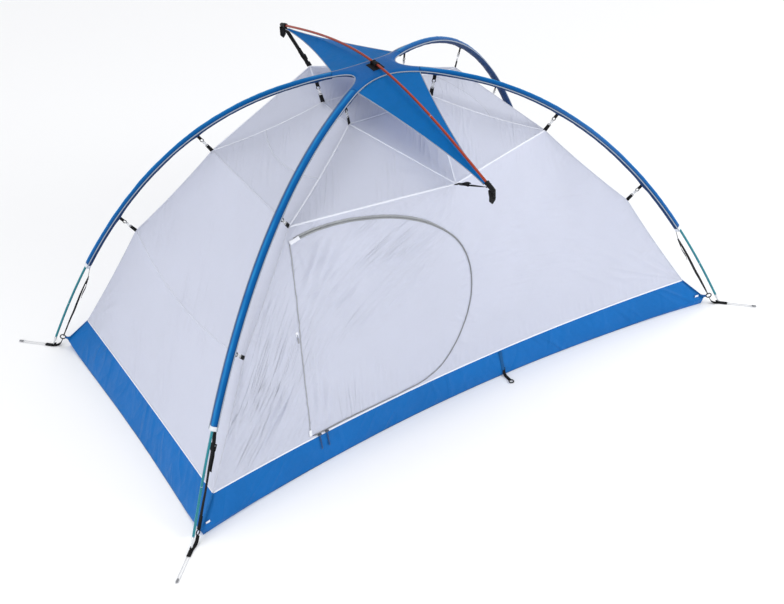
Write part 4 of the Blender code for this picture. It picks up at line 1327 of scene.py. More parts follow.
def long_wall_target(side):
    """The long wall's heights as straight lines from the tub's edge up to the wall's upper edge."""
    line = wall_top(side)

    def heights(flat):
        x, z = flat.T
        high_y, high_z = (np.interp(x, line[:, 0], line[:, axis]) for axis in (1, 2))
        low_y = side * tub_top_y(x)
        share = (z - TUB_CLOTH_Z) / np.maximum(high_z - TUB_CLOTH_Z, 1e-4)
        return low_y + (high_y - low_y) * np.clip(share, 0.0, 1.0)

    return heights


def end_border(side):
    """The closed border of an end wall."""
    front, back = end_legs_of(side)
    return chained(tub_line(side, False), LEG_EDGES[back], END_SEAMS[side][::-1], LEG_EDGES[front][::-1])[:-1]


def eave_border(side):
    """The closed border of the cloth between the roof's edge and a peak."""
    left, right = legs_of(side)
    return chained(ROOF_EDGES[side], PEAK_SEAMS[right], PEAK_SEAMS[left][::-1])[:-1]


def roof_border():
    """The closed border of the roof."""
    return chained(ROOF_EDGES[-1], END_SEAMS[1], ROOF_EDGES[1][::-1], END_SEAMS[-1][::-1])[:-1]


# The door's outline in the wall's plane.

DOOR_LINE = curve_through([HINGE_HIGH, *DOOR_OUTLINE, HINGE_LOW], 12)
HINGE_DOWN = unit(np.array(HINGE_LOW) - np.array(HINGE_HIGH))


def beside_door(distance, line=DOOR_LINE):
    """The zip's line moved sideways in the wall's plane; positive is away from the door."""
    along = unit(np.gradient(line, axis=0))
    return line + distance * np.stack([-along[:, 1], along[:, 0]], axis=1)


FRONT_COMBED = (  # centre, direction, reach, spacing, length, height, seed
    ((-0.30, 0.62), DIAGONAL, (0.34, 0.22), 0.013, 0.11, 0.0030, 31),
    ((-0.42, 0.66), (-0.66, -0.75), (0.20, 0.13), 0.011, 0.10, 0.0028, 32),
    ((-0.17, 0.70), DIAGONAL, (0.17, 0.07), 0.012, 0.12, 0.0036, 33),
    ((-0.62, 0.58), (-0.74, -0.67), (0.17, 0.13), 0.011, 0.10, 0.0026, 34),
    ((-0.72, 0.27), (-0.80, -0.60), (0.22, 0.12), 0.012, 0.14, 0.0042, 35),
    ((-0.86, 0.33), (-0.35, -0.93), (0.17, 0.07), 0.012, 0.11, 0.0024, 36),
    ((-0.55, 0.26), (0.16, 1.0), (0.19, 0.060), 0.014, 0.13, 0.0044, 37),
    ((0.24, 0.62), (1.0, -0.26), (0.16, 0.20), 0.014, 0.12, 0.0016, 38),
    ((0.62, 0.36), (0.80, -0.60), (0.34, 0.20), 0.020, 0.20, 0.0012, 39),
)
FRONT_FANS = (  # apex, facing, spread, reach, folds, height, seed
    (TUB_IN_WALL * MIRROR, (0.78, 0.62), 0.55, 0.36, 22, 0.0026, 41),
    (TUB_IN_WALL, (-0.78, 0.62), 0.60, 0.42, 22, 0.0022, 42),
    (CLIPS_IN_WALL[1] * MIRROR, (-0.30, -0.95), 0.85, 0.20, 16, 0.0024, 43),
    (CLIPS_IN_WALL[1], (0.30, -0.95), 0.85, 0.20, 16, 0.0016, 44),
    (PEAK_IN_WALL, (-0.3, -0.95), 1.1, 0.20, 18, 0.0018, 45),
)
FRONT_STROKES = (  # start, end, width, height
    ((-0.115, 0.775), (-0.275, 0.655), 0.0065, 0.0052),
    ((-0.150, 0.765), (-0.320, 0.620), 0.0060, -0.0026),
    ((-0.430, 0.790), (-0.520, 0.640), 0.0060, 0.0042),
    ((-0.395, 0.785), (-0.500, 0.590), 0.0070, 0.0036),
    ((-0.545, 0.340), (-0.588, 0.150), 0.0100, 0.0070),
    ((-0.505, 0.300), (-0.560, 0.145), 0.0085, 0.0050),
    ((-0.640, 0.360), (-0.860, 0.175), 0.0070, 0.0050),
    ((-0.660, 0.310), (-0.840, 0.150), 0.0065, -0.0030),
    ((-0.610, 0.520), (-0.690, 0.400), 0.0060, 0.0030),
)


def front_folds(points, gap, place, zip_gap):
    """The front wall and the door hang in long folds from the peak down to the near corner."""
    x, z = points.T
    total = slack(points, 0.0016, 11) + crumple(points, 0.00035, 21)
    for make, rows in ((combed, FRONT_COMBED), (fan, FRONT_FANS)):
        for row in rows:
            total += make(points, *row)
    seam = gathers(gap, place, 0.022, 0.010, 0.0026, 51) * (z < 0.3)
    total += seam * (0.35 + 0.65 * smooth(x, -0.55, -0.40) * (1 - smooth(x, -0.05, 0.10)))
    total += gathers(gap, place, 0.016, 0.012, 0.0010, 52) * (z > 0.3)
    zip_pull = gathers(zip_gap, np.arctan2(z - 0.46, x + 0.25) * 0.33, 0.018, 0.012, 0.0022, 53)
    total += zip_pull * (0.35 + 0.65 * smooth(x, -0.05, 0.04))
    for row in FRONT_STROKES:
        total += stroke(points, *row)
    return 2.0 * total * (0.25 + 0.75 * smooth(zip_gap, 0.003, 0.016))


def wall_folds(points, gap, place, seed):
    """The back wall: pulled between its corners and clips, with faint folds along the pull."""
    total = slack(points, 0.0016, seed) + crumple(points, 0.0004, seed + 1)
    total += combed(points, (-0.55, 0.45), DIAGONAL, (0.40, 0.24), 0.018, 0.16, 0.0020, seed + 2)
    total += combed(points, (0.50, 0.48), (0.82, -0.57), (0.42, 0.24), 0.018, 0.16, 0.0022, seed + 3)
    for sx in (-1, 1):
        corner, clip = TUB_IN_WALL * (sx, 1), CLIPS_IN_WALL[1] * (sx, 1)
        total += fan(points, corner, (-sx * 0.78, 0.62), 0.60, 0.40, 22, 0.0024, seed + 5 + sx)
        total += fan(points, clip, (sx * 0.3, -0.95), 0.85, 0.20, 16, 0.0018, seed + 8 + sx)
    total += fan(points, PEAK_IN_WALL, (0.0, -1.0), 1.1, 0.20, 18, 0.0018, seed + 11)
    total += gathers(gap, place, 0.020, 0.011, 0.0018, seed + 12)
    return 1.5 * total


def end_folds(points, gap, place, seed):
    """An end wall: nearly smooth, with small folds by its clips and corners."""
    total = slack(points, 0.0018, seed) + crumple(points, 0.0003, seed + 1)
    for sy in (-1, 1):
        _, middle, low = CLIPS_IN_END * (sy, 1)
        total += fan(points, TUB_IN_END * (sy, 1), (-sy * 0.55, 0.83), 0.60, 0.30, 18, 0.0022, seed + 3 + sy)
        total += fan(points, middle, (-sy * 0.75, -0.66), 0.80, 0.17, 14, 0.0022, seed + 6 + sy)
        total += fan(points, low, (-sy * 1.0, -0.1), 1.0, 0.15, 16, 0.0016, seed + 9 + sy)
    total += combed(points, (-0.20, 0.68), (-0.5, -0.86), (0.16, 0.10), 0.015, 0.10, 0.0012, seed + 11)
    return 1.5 * (total + gathers(gap, place, 0.016, 0.012, 0.0012, seed + 12))


def roof_folds(points, gap, place, seed):
    """The roof's folds: fans from its clips, and gathers along its seams."""
    total = slack(points, 0.0018, seed) + crumple(points, 0.0003, seed + 1)
    for sx in (-1, 1):
        for sy in (-1, 1):
            top, middle = CLIPS_IN_PLAN * (sx, sy)
            own = seed + sx + 3 * sy
            total += fan(points, middle, (-sx * 0.8, -sy * 0.6), 0.70, 0.16, 14, 0.0018, own + 5)
            total += fan(points, top, (sx * 0.9, -sy * 0.4), 0.90, 0.14, 14, 0.0016, own + 15)
    return 1.5 * (total + gathers(gap, place, 0.014, 0.012, 0.0011, seed + 21))


def eave_folds(points, gap, place, side, seed):
    """An eave's folds: fans from the peak and the clips, and gathers along its seams."""
    total = slack(points, 0.0012, seed) + crumple(points, 0.0003, seed + 1)
    total += fan(points, (0.0, side * PEAK[1]), (0.0, -side * 1.0), 0.95, 0.30, 26, 0.0022, seed + 2)
    for sx in (-1, 1):
        top, middle = CLIPS_IN_PLAN * (sx, side)
        total += fan(points, middle, (-sx * 0.75, side * 0.10), 0.60, 0.20, 12, 0.0018, seed + 4 + sx)
        total += fan(points, top, (-sx * 0.3, side * 1.0), 0.70, 0.16, 12, 0.0016, seed + 7 + sx)
    return 1.6 * (total + gathers(gap, place, 0.014, 0.012, 0.0009, seed + 11))


COARSE = SPACING * 1.25
FINE = SPACING * 0.9


def folded(panel, folds, *how):
    """The panel with its folds made from its plane, its distance to its edge and its place along it."""
    return panel.fold(folds(panel.flat, panel.border_gap, panel.border_place, *how))


def make_canopy():
    """Every panel of the canopy, with the front wall and the door cut from one surface."""
    panels = {}
    for side, word in ((-1, "left"), (1, "right")):
        panel = Panel((1, 2), 0, side, end_border(side), [LOW_SEAMS[side]], spacing=COARSE)
        panels[f"end_{word}"] = folded(panel, end_folds, 100 + 30 * side)
        cloth_piece(f"canopy_wall_{word}", panel.part())
    for side, word in SIDES:
        lines = [TOP_TO_PEAK[leg] for leg in legs_of(side)]
        panel = Panel((0, 1), 2, 1, eave_border(side), lines, spacing=COARSE)
        panels[f"eave_{word}"] = folded(panel, eave_folds, side, 200 + 30 * side)
        cloth_piece(f"canopy_eave_{word}", panel.part())
    lines = [ROOF_CROSS[-1], ROOF_CROSS[1], TOP_SEAMS[-1], TOP_SEAMS[1]]
    panels["roof"] = folded(Panel((0, 1), 2, 1, roof_border(), lines, spacing=COARSE), roof_folds, 300)
    cloth_piece("canopy_roof", panels["roof"].part())
    panel = Panel((0, 2), 1, 1, wall_border(1), spacing=COARSE, target=long_wall_target(1))
    panels["wall_back"] = folded(panel, wall_folds, 400)
    cloth_piece("canopy_wall_back", panel.part())
    panels["wall_front"] = make_front_wall()
    return panels


def make_front_wall():
    """The wall and the door from one surface, parted by a narrow gap under the zip."""
    hole, edge = beside_door(0.0015), beside_door(-0.0015)
    hole[[0, -1]] = edge[[0, -1]] = DOOR_LINE[[0, -1]]
    target = long_wall_target(-1)
    panel = Panel((0, 2), 1, -1, wall_border(-1), cuts=[hole, edge], spacing=FINE, target=target)
    _, zip_gap = nearest(panel.flat, spaced(DOOR_LINE, SEAM_STEP))
    folded(panel, front_folds, zip_gap)
    middles = panel.flat[panel.faces].mean(axis=1)
    in_hole, in_door = within(middles, [hole]), within(middles, [edge])
    cloth_piece("canopy_wall_front", panel.part(~in_hole), look="canopy_door_side")
    follow_door(cloth_piece("door", panel.part(in_door), None, "canopy_door_side"))
    return panel


BEFORE_WALL_Y = -2.0
NEAR_WALL_Y = -0.5


def on_front_wall(flat, lift=0.0):
    """Points of the front wall's outside at places in its XZ outline, with their normals."""
    found, normals = [], []
    for x, z in flat:
        hit, normal, _, _ = FRONT_TREE.ray_cast(Vector((x, BEFORE_WALL_Y, z)), Vector((0.0, 1.0, 0.0)))
        if hit is None:
            hit, normal, _, _ = FRONT_TREE.find_nearest(Vector((x, NEAR_WALL_Y, z)))
        normal = normal if normal.y < 0 else -normal
        found.append(tuple(hit))
        normals.append(tuple(normal))
    normals = unit(np.array(normals))
    return np.array(found) + normals * np.broadcast_to(lift, len(found))[:, None], normals


def follow_door(obj):
    """Bakes the piece's transform into its mesh."""
    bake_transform(obj)


PANELS = make_canopy()
FRONT_TREE = PANELS["wall_front"].tree()

# ---------------------------------------------------------------- seams


FLAT_SEAM_HALF = 0.0024
SEAM_BACK = 0.0003  # how far a seam's band reaches under the cloth


def evened(vectors, reach=4):
    """Directions along a line, each made the mean of its neighbours'."""
    kernel = np.full(2 * reach + 1, 1.0 / (2 * reach + 1))
    padded = np.pad(vectors, ((reach, reach), (0, 0)), mode="edge")
    return unit(np.stack([np.convolve(padded[:, k], kernel, "valid") for k in range(3)], axis=1))


def seam_band(piece, line, sides, half, lift=0.0010, look="seam"):
    """A sewn band along a line, folded over the crease. Each side is a panel, with +1 or -1 within one."""
    line = spaced(line, 0.006)
    along = unit(np.gradient(line, axis=0))
    trees = [panel.tree() for panel, _ in sides]
    normal = evened(sum(np.array([tree.find_nearest(Vector(point))[1] for point in line]) for tree in trees))
    across = unit(np.cross(along, normal))
    flanks, outs = [], []
    for tree, (panel, sign) in zip(trees, sides):
        if sign is None:
            sign = np.sign(((panel.points.mean(axis=0) - line) * across).sum(axis=1).mean())
        found = [tree.find_nearest(Vector(point)) for point in line + across * sign * half * 1.6]
        flank = np.array([hit for hit, *_ in found]) - line
        flank -= along * (flank * along).sum(axis=1, keepdims=True)
        flanks.append(evened(unit(flank)))
        outs.append(evened(np.array([out for _, out, *_ in found])))
    (left, right), (left_out, right_out) = flanks, outs
    ring = [
        line + left * half + left_out * lift * 0.5,
        line + left * half * 0.5 + left_out * lift,
        line + normal * lift * 1.3,
        line + right * half * 0.5 + right_out * lift,
        line + right * half + right_out * lift * 0.5,
        line + right * half - right_out * SEAM_BACK,
        line - normal * SEAM_BACK,
        line + left * half - left_out * SEAM_BACK,
    ]
    piece.add(skin(np.stack(ring, axis=1), around=True, ends=True), look)


def make_seams():
    """Piped seams over the roof and the eaves, and softer ones down the legs and across the panels."""
    roof = PANELS["roof"]
    walls, eaves = ({side: PANELS[f"{kind}_{word}"] for side, word in SIDES} for kind in ("wall", "eave"))
    ends = {-1: PANELS["end_left"], 1: PANELS["end_right"]}
    soft, flat = {"half": FLAT_SEAM_HALF, "look": "soft_seam"}, {"lift": 0.0007}
    seams = Piece("canopy_seams")
    for leg, (sx, sy) in LEGS.items():
        seam_band(seams, LEG_EDGES[leg], [(walls[sy], None), (ends[sx], None)], **soft)
        seam_band(seams, PEAK_SEAMS[leg], [(walls[sy], None), (eaves[sy], None)], SEAM_HALF_WIDTH, 0.0013)
        seam_band(seams, TOP_TO_PEAK[leg], [(eaves[sy], 1), (eaves[sy], -1)], 0.0026)
    for side in (-1, 1):
        seam_band(seams, ROOF_EDGES[side], [(roof, None), (eaves[side], None)], 0.0028)
        seam_band(seams, END_SEAMS[side], [(roof, None), (ends[side], None)], **soft)
        seam_band(seams, LOW_SEAMS[side], [(ends[side], 1), (ends[side], -1)], **soft, **flat)
        seam_band(seams, ROOF_CROSS[side], [(roof, 1), (roof, -1)], **soft, **flat)
        seam_band(seams, TOP_SEAMS[side], [(roof, 1), (roof, -1)], **soft)
    seams.done("tent", slot="canopy_fabric")


make_seams()

# ---------------------------------------------------------------- door and zip


def strip_on_wall(piece, flat_a, flat_b, lift, thickness, look, columns=5):
    """A strip of the front wall's surface between two lines in its XZ outline."""
    rows_out, rows_in = [], []
    for share in np.linspace(0.0, 1.0, columns):
        points, normals = on_front_wall(flat_a + (flat_b - flat_a) * share)
        crown = lift + 0.0003 * math.sin(math.pi * share)
        rows_out.append(points + normals * (crown + thickness))
        rows_in.append(points + normals * crown)
    piece.add(skin(np.stack(rows_out + rows_in[::-1], axis=1), around=True, ends=True), look)


NARROW_TAPE = 0.0026
TAPE_SHOWN = 0.0064  # more of it along the top of the door
DOOR_TAPE_SHARE = 0.45  # of that on the door's side of the coil


def make_zip():
    """On each side of the gap: the tape, the coil at its inner edge and the stitched edge of the cloth."""
    x, z = DOOR_LINE.T
    extra = (TAPE_SHOWN * smooth(z, 0.60, 0.80) * (1 - smooth(x, -0.16, 0.03)))[:, None]
    skip = slice(2, -1)
    for node, sign, share in (("zip_tape_wall", 1.0, 1.0), ("zip_tape_door", -1.0, DOOR_TAPE_SHARE)):
        outwards = beside_door(sign) - DOOR_LINE
        away = DOOR_LINE + outwards * (NARROW_TAPE + share * extra)
        tape = Piece(f"{node}_cloth")
        strip_on_wall(tape, beside_door(sign * 0.0004)[skip], away[skip], 0.0005, 0.0007, "tape")
        edge = away + outwards * 0.0004
        for line, lift, radius, sides, look in (
            (beside_door(sign * 0.0008), 0.0013, 0.0010, 8, "coil"),
            (edge, 0.0010, 0.0006, 6, "soft_seam"),
        ):
            points, normals = on_front_wall(spaced(line[skip], 0.004), lift)
            tape.add(swept(points, disc(radius, sides), normals), look)
        tape = tape.done(None if sign < 0 else "tent", node, "zip_tape")
        if sign < 0:
            follow_door(tape)


def make_door_details():
    """The hinge's stitching, the tab over the zip's start and the tab at the hinge's foot."""
    hinge = Piece("door_hinge_seam")
    low, high = np.array(HINGE_LOW), np.array(HINGE_HIGH)
    line = spaced(np.array([high + HINGE_DOWN * 0.004, low - HINGE_DOWN * 0.004]), 0.006)
    aside = 0.0016 * np.array((-HINGE_DOWN[1], HINGE_DOWN[0]))
    strip_on_wall(hinge, line - aside, line + aside, 0.0004, 0.0009, "hinge_seam")
    follow_door(hinge.done(None, slot="canopy_fabric"))
    tab = Piece("zip_start_tab")
    line = DOOR_LINE[:10]
    line = spaced(line[lengths(line) < 0.046], 0.004)
    along = unit(np.gradient(line, axis=0))
    side = np.stack([-along[:, 1], along[:, 0]], axis=1) * 0.0066
    strip_on_wall(tab, line + side, line - side, 0.0026, 0.0010, "binding")
    tab.done("tent", slot="canopy_fabric")
    foot = Piece("hinge_foot_tab")
    line = spaced(np.array([low - HINGE_DOWN * 0.026, low - HINGE_DOWN * 0.002]), 0.004)
    strip_on_wall(foot, line - aside * 3.6, line + aside * 3.6, 0.0012, 0.0012, "binding")
    foot.done("tent", slot="canopy_fabric")


make_zip()
make_door_details()


def slider(label, x):
    """A zip slider: two joined plates round the coil, a raised bridge and a doubled cord pull with a grip."""
    z = HINGE_LOW[1] - 0.0045
    y = -tub_top_y(x) - 0.0042
    body = Piece(f"zip_slider_{label}_body")
    half = [(-0.0075, -0.0020), (-0.0060, -0.0040), (0.0, -0.0043), (0.0060, -0.0030), (0.0075, -0.0012)]
    for offset in (-0.0011, 0.0011):
        place = frame_at((x, y + offset, z), (1, 0, 0), (0, 0, 1))
        body.add(plate(other_half(half, False), 0.0012, place, edge=0.0003), "slider")
    post = frame_at((x + 0.0035, y, z), (1, 0, 0), (0, 0, 1))
    body.add(plate(rounded_box(0.003, 0.005, 0.001), 0.0030, post, edge=0.0003), "slider")
    bridge = curve_through([(x - 0.005, y - 0.0014, z), (x, y - 0.0019, z), (x + 0.005, y - 0.0014, z)], 6)
    body.add(swept(bridge, slab(0.0030, 0.0010), (0, -1, 0)), "slider")
    body.done(f"slider_{label}", f"zip_slider_{label}", "slider_metal")
    top = np.array((x, y - 0.0010, z - 0.0059))
    hang = unit(np.array((0.0, -PULL_LEAN, -1.0)))
    pull = Piece(f"zip_pull_{label}_cord")
    drops = np.array((0.0, 0.004, 0.012, 0.024, 0.036, 0.044))
    gaps = np.array((0.0002, 0.0011, 0.0014, 0.0013, 0.0012, 0.0008))
    for sign in (-1, 1):
        line = top + hang * drops[:, None] + X_AXIS * (sign * gaps)[:, None]
        pull.add(swept(curve_through(line, 4), disc(0.0011, 8), (0, -1, 0)), "pull")
    grip = np.array((0.0, 0.001, 0.004, 0.010, 0.013, 0.0135))
    grip_path = top + hang * (0.0405 + grip)[:, None]
    turned(pull, grip_path, (0.0010, 0.0018, 0.0024, 0.0022, 0.0016, 0.0006), "pull", 14, (0, -1, 0))
    pull.done(f"pull_{label}", f"zip_pull_{label}", "pull_cord")


for slider_label, slider_x in zip(("right", "left"), SLIDER_X):
    slider(slider_label, slider_x)


def tie_toggle():
    """A small toggle on an elastic loop, and its tab sewn to the wall."""
    x, z = TOGGLE_AT
    line = wall_top(-1)
    high_y, high_z = (np.interp(x, line[:, 0], line[:, axis]) for axis in (1, 2))
    low_y = -tub_top_y(x)
    y = low_y + (high_y - low_y) * (z - TUB_CLOTH_Z) / (high_z - TUB_CLOTH_Z)
    top = np.array((x, y - 0.0045, z + 0.012))
    toggle = Piece("door_tie_toggle_body")
    drops = np.array((0.0, 0.002, 0.006, 0.009, 0.013, 0.017, 0.020, 0.024, 0.026))
    radii = np.array((0.0008, 0.0018, 0.0029, 0.0030, 0.0023, 0.0030, 0.0029, 0.0020, 0.0008))
    path = curve_through(top - np.array((0.0, 0.08, 1.0)) * drops[:, None], 3)
    path_radii = np.interp(np.arange(len(path)) / 3, np.arange(len(radii)), radii)
    turned(toggle, path, path_radii, "toggle", 18, (0, -1, 0))
    toggle.done("toggle", "door_tie_toggle", "toggle_plastic")
    point, normal = (found[0] for found in on_front_wall([(x, z + 0.020)], 0.0006))
    loop = Piece("toggle_loop")
    route = curve_through([point, point + normal * 0.004, top + UP * 0.004, top - UP * 0.0006], 5)
    loop.add(swept(route, disc(0.0008, 8), X_AXIS), "pull")
    flat = spaced(np.array([(x, z + 0.030), (x, z + 0.014)]), 0.004)
    strip_on_wall(loop, flat - (0.005, 0.0), flat + (0.005, 0.0), 0.0003, 0.0009, "binding")
    loop.done("tent", slot="canopy_fabric")


tie_toggle()

# ---------------------------------------------------------------- poles

POLE_JOINTS = (0.35, 0.72, 1.02, 1.215)  # distances out from the crossing at which two sections meet
RIDGE_JOINTS = (-0.345, 0.345)
RING_RADII = (0.00445, 0.0047, 0.0047, 0.00445)  # of the small step where two sections meet
RING_AT = np.array((-0.0006, -0.0003, 0.0003, 0.0006))
RIDGE_RING_AT = np.array((-0.0007, -0.0003, 0.0003, 0.0007))
TIP_AT = np.array((0.0, 0.001, 0.014, 0.016, 0.017, 0.030, 0.038, 0.042))
TIP_RADII = (0.0044, 0.0049, 0.0049, 0.0046, 0.0034, 0.0032, 0.0030, 0.0016)
POLE_SIDES = 24


def main_pole(letter, left, right, lift):
    """Anodised sections that plug together, with a bare ferrule and a plug at each end."""
    pole = Piece(f"main_pole_{letter}_tube")
    t = np.concatenate([np.linspace(0.0, 0.16, 40), np.linspace(0.16, 1.0, 180)[1:]])
    half = arch_points(t)
    half[:, 1] += lift * crossing_bump(half[:, 0])
    for leg in (left, right):
        outwards, across = leg_directions(leg)
        line = outwards * half[:, :1] + UP * half[:, 1:]
        at = lengths(line)
        turned(pole, line[at < at[-1] - 0.040], POLE_RADIUS, "pole", POLE_SIDES, across)
        turned(pole, cut_from(line, at[-1] - TIP_AT[-1] + TIP_AT), TIP_RADII, "tip", POLE_SIDES, across)
        for joint in POLE_JOINTS:
            ring = cut_from(line, np.interp(joint, half[:, 0], at) + RING_AT)
            turned(pole, ring, RING_RADII, "tip", POLE_SIDES, across)
    pole.done("tent", f"main_pole_{letter}", "main_pole", sharp=40)


main_pole("a", "front_left", "back_right", POLE_STACK)
main_pole("b", "front_right", "back_left", -POLE_STACK)


def ridge():
    """The short pole over the crossing, from three sections."""
    pole = Piece("ridge_pole_tube")
    steps = [(np.linspace(-RIDGE_HALF, RIDGE_HALF, 160), POLE_RADIUS, "ridge")]
    steps += [(joint + RIDGE_RING_AT, RING_RADII, "tip") for joint in RIDGE_JOINTS]
    for y, radii, look in steps:
        turned(pole, np.stack([0 * y, y, ridge_z(y)], axis=1), radii, look, POLE_SIDES, X_AXIS)
    pole.done("tent", "ridge_pole", "ridge_pole", sharp=40)


ridge()


CAP_AT = np.array((0.0, 0.0008, 0.004, 0.005, 0.012, 0.013, 0.0145, 0.0155, 0.030, 0.038, 0.0425))
CAP_RADII = (0.0064, 0.0088, 0.0090, 0.0082, 0.0082, 0.0090, 0.0090, 0.0082, 0.0082, 0.0078, 0.0062, 0.0034)
TAB_HALF = [(-0.012, 0.002), (-0.012, -0.034), (-0.0105, -0.037), (-0.002, -0.047), (0.0, -0.048)]
FLAP_HALF = [(-0.009, 0.0), (-0.009, -0.019), (-0.007, -0.022)]
RIDGE_STRAP = 0.0140
BUCKLE_SHARE = 0.80  # of the way down the ridge strap


def ridge_cap(side, word):
    """The cap over the ridge pole's end, with its hanging tab, a flap and a ring."""
    near, far = (np.array((0.0, side * y, ridge_z(y))) for y in (CAP_INNER_Y, CAP_OUTER_Y))
    cap = Piece(f"ridge_cap_{word}_moulding")
    at = np.append(CAP_AT, np.linalg.norm(far - near))
    turned(cap, near + unit(far - near) * at[:, None], CAP_RADII, "plastic", 28, X_AXIS)
    hang = np.array((0.0, side * RIDGE_HALF, ridge_z(RIDGE_HALF) - 0.0065))
    cap.add(plate(other_half(TAB_HALF), 0.0036, frame_at(hang, X_AXIS, UP), edge=0.0008), "plastic")
    for drop in (-0.012, -0.020, -0.028):
        rib = frame_at(hang + np.array((0.0, side * 0.0018, drop)), X_AXIS, UP)
        cap.add(plate(rounded_box(0.018, 0.0018, 0.0008), 0.0016, rib), "plastic")
    lean = unit(np.array((0.0, -side * 0.25, 1.0)))
    flap = frame_at(hang + np.array((0.0, -side * 0.011, 0.0)), X_AXIS, lean)
    cap.add(plate(other_half(FLAP_HALF), 0.0022, flap, edge=0.0006), "plastic")
    loop_ring(cap, hang + np.array((0.0, side * 0.0088, -0.015)), 0.0072, 0.0016, X_AXIS, "plastic")
    cap.done("tent", f"ridge_cap_{word}", "black_plastic", sharp=35)


def ridge_strap(side, word):
    """The doubled strap from the ridge cap down to the peak, with its loose tail and its buckle."""
    start = np.array((0.0, side * STRAP_TOP_Y, ridge_z(STRAP_TOP_Y) - STRAP_TOP_DROP))
    end = peak(side) + np.array((0.0, side * 0.006, 0.001))
    run = unit(end - start)
    out = unit(np.cross(X_AXIS, run))
    out = out if out[2] > 0 else -out
    span = float(np.linalg.norm(end - start))
    webbing = Piece(f"ridge_strap_{word}_webbing")
    whole = [start + out * 0.0008, start + run * span * 0.70, end]
    strap(webbing, whole, X_AXIS, RIDGE_STRAP, wave=0.0006, twist=0.75)
    lap = [start + run * span * 0.60 - out * 0.0020, start + run * span * 0.97 - out * 0.0004, end]
    strap(webbing, lap, X_AXIS, RIDGE_STRAP, 0.0014, twist=0.60)
    tail = [start + run * span * s + out * o for s, o in ((0.80, 0.0052), (0.70, 0.0068), (0.58, 0.0050))]
    strap(webbing, tail, X_AXIS, RIDGE_STRAP, 0.0014, wave=0.001, twist=0.5)
    sewn = [end - run * 0.016 + out * 0.0016, end + run * 0.004 + out * 0.0012]
    strap(webbing, sewn, X_AXIS, 0.0200, 0.0012)
    webbing.done("tent", f"ridge_strap_{word}", "webbing")
    buckle = Piece(f"ridge_buckle_{word}_lock")
    ladder_lock(buckle, start + run * span * BUCKLE_SHARE + out * 0.0029, run, X_AXIS, 0.022)
    buckle.done("tent", f"ridge_buckle_{word}", "black_plastic", sharp=35)


def ladder_lock(piece, centre, along, across, width):
    """A ladder-lock buckle: a frame with a middle bar, and a round bar at each edge of its two openings."""
    half = width / 2
    low_half = [(-0.014, -half + 0.002), (-0.012, -half), (0.010, -half * 0.86), (0.014, -half * 0.62)]
    outline = other_half(low_half, False)
    opening = rounded_box(0.0050, half * 1.20, 0.0012)
    holes = [[(x + a, b) for a, b in opening] for x in (-0.0070, 0.0045)]
    place = frame_at(centre, along, across)
    piece.add(plate(outline, 0.0032, place, holes, 0.0007), "plastic")
    for x, thick in ((-0.0125, 0.0014), (-0.0012, 0.0012), (0.0118, 0.0018)):
        ends = [centre + unit(along) * x + unit(across) * half * end for end in (-0.66, 0.66)]
        piece.add(swept(spaced(ends, 0.003), disc(thick, 12), place[:3, 2]), "plastic")


for side_sign, side_word in SIDES:
    ridge_cap(side_sign, side_word)
    ridge_strap(side_sign, side_word)

# ---------------------------------------------------------------- sleeves, hub and wings

TOP_SHARE = 0.88  # of the sleeve's half width that its upper fabric covers, between the pipings
EDGE_H = 0.0015
HUB_SEAM = SLEEVE_HALF_WIDTH * TOP_SHARE
SLEEVE_EDGE = -0.0035  # a sleeve's edges lie lower than the hub's
SLEEVE_SLIM = 0.86  # and it is narrower: a rounded tunnel that hangs from the pole
HUB_DEPTH = 0.0110
SLEEVE_DEPTH = 0.0160
SLEEVE_STEP = 0.007
SLIMMING = 0.16  # over which the hub's shape turns into the sleeve's
SETTLING = 0.05  # over which its wrinkles begin
BAND_START_R = 1.1120  # where the sleeve's pale end band starts
UNDER_X = np.array((-0.88, -0.97, -1.0, -0.93, -0.72, -0.40, -0.12, 0.12, 0.40, 0.72, 0.93, 1.0, 0.97, 0.88))
UNDER_DROP = np.array((-0.16, 0.02, 0.20, 0.46, 0.74, 0.94, 1.0, 1.0, 0.94, 0.74, 0.46, 0.20, 0.02, -0.16))


def sleeve_edge(r):
    """How far into the sleeve's shape, out of the hub's, a place is; its edge's height; and its width."""
    share = smooth(r, SLEEVE_START_R, SLEEVE_START_R + SLIMMING)
    return share, EDGE_H + (SLEEVE_EDGE - EDGE_H) * share, 1 + (SLEEVE_SLIM - 1) * share


def upper_heights(r, settle, edge, seed):
    """The upper strip: a ridge over the pole that flattens into the hub, with small wrinkles across it."""
    x = np.linspace(-1.0, 1.0, 13) * TOP_SHARE
    square = (x / TOP_SHARE) ** 2
    tent_shape = (np.sqrt(square + 0.09) - 0.3) / (math.sqrt(1.09) - 0.3)
    fall = tent_shape * settle + square * (1 - settle)
    wrinkle = 0.00055 * noise(r / 0.030, x * 2.0, 71 + seed) + 0.0004 * noise(r / 0.011, x * 1.5, 72 + seed)
    return x, edge + (SLEEVE_TOP - edge) * (1 - fall) + wrinkle * settle * (1 - square)


def lower_heights(r, settle, edge, share, seed):
    """The lower strip: a hanging tunnel, pulled down where the clips are sewn on."""
    pulled = sum(np.exp(-(((r - clip) / 0.016) ** 2)) for clip in SLEEVE_CLIP_R)
    below = HUB_DEPTH + (SLEEVE_DEPTH - HUB_DEPTH) * share + 0.0020 * pulled * settle
    out = np.abs(UNDER_X)
    wide = np.where(out > TOP_SHARE, TOP_SHARE + (out - TOP_SHARE) * settle, out) * np.sign(UNDER_X)
    height = -below * UNDER_DROP
    height[:, [1, -2]] += 0.6 * edge
    height[:, [2, -3]] += 0.3 * edge
    height[:, [0, -1]] = edge
    height[:, 1:-1] += (0.0007 * noise(r / 0.020, UNDER_X * 2.0, 73 + seed) * settle)[:, 1:-1]
    return wide, height


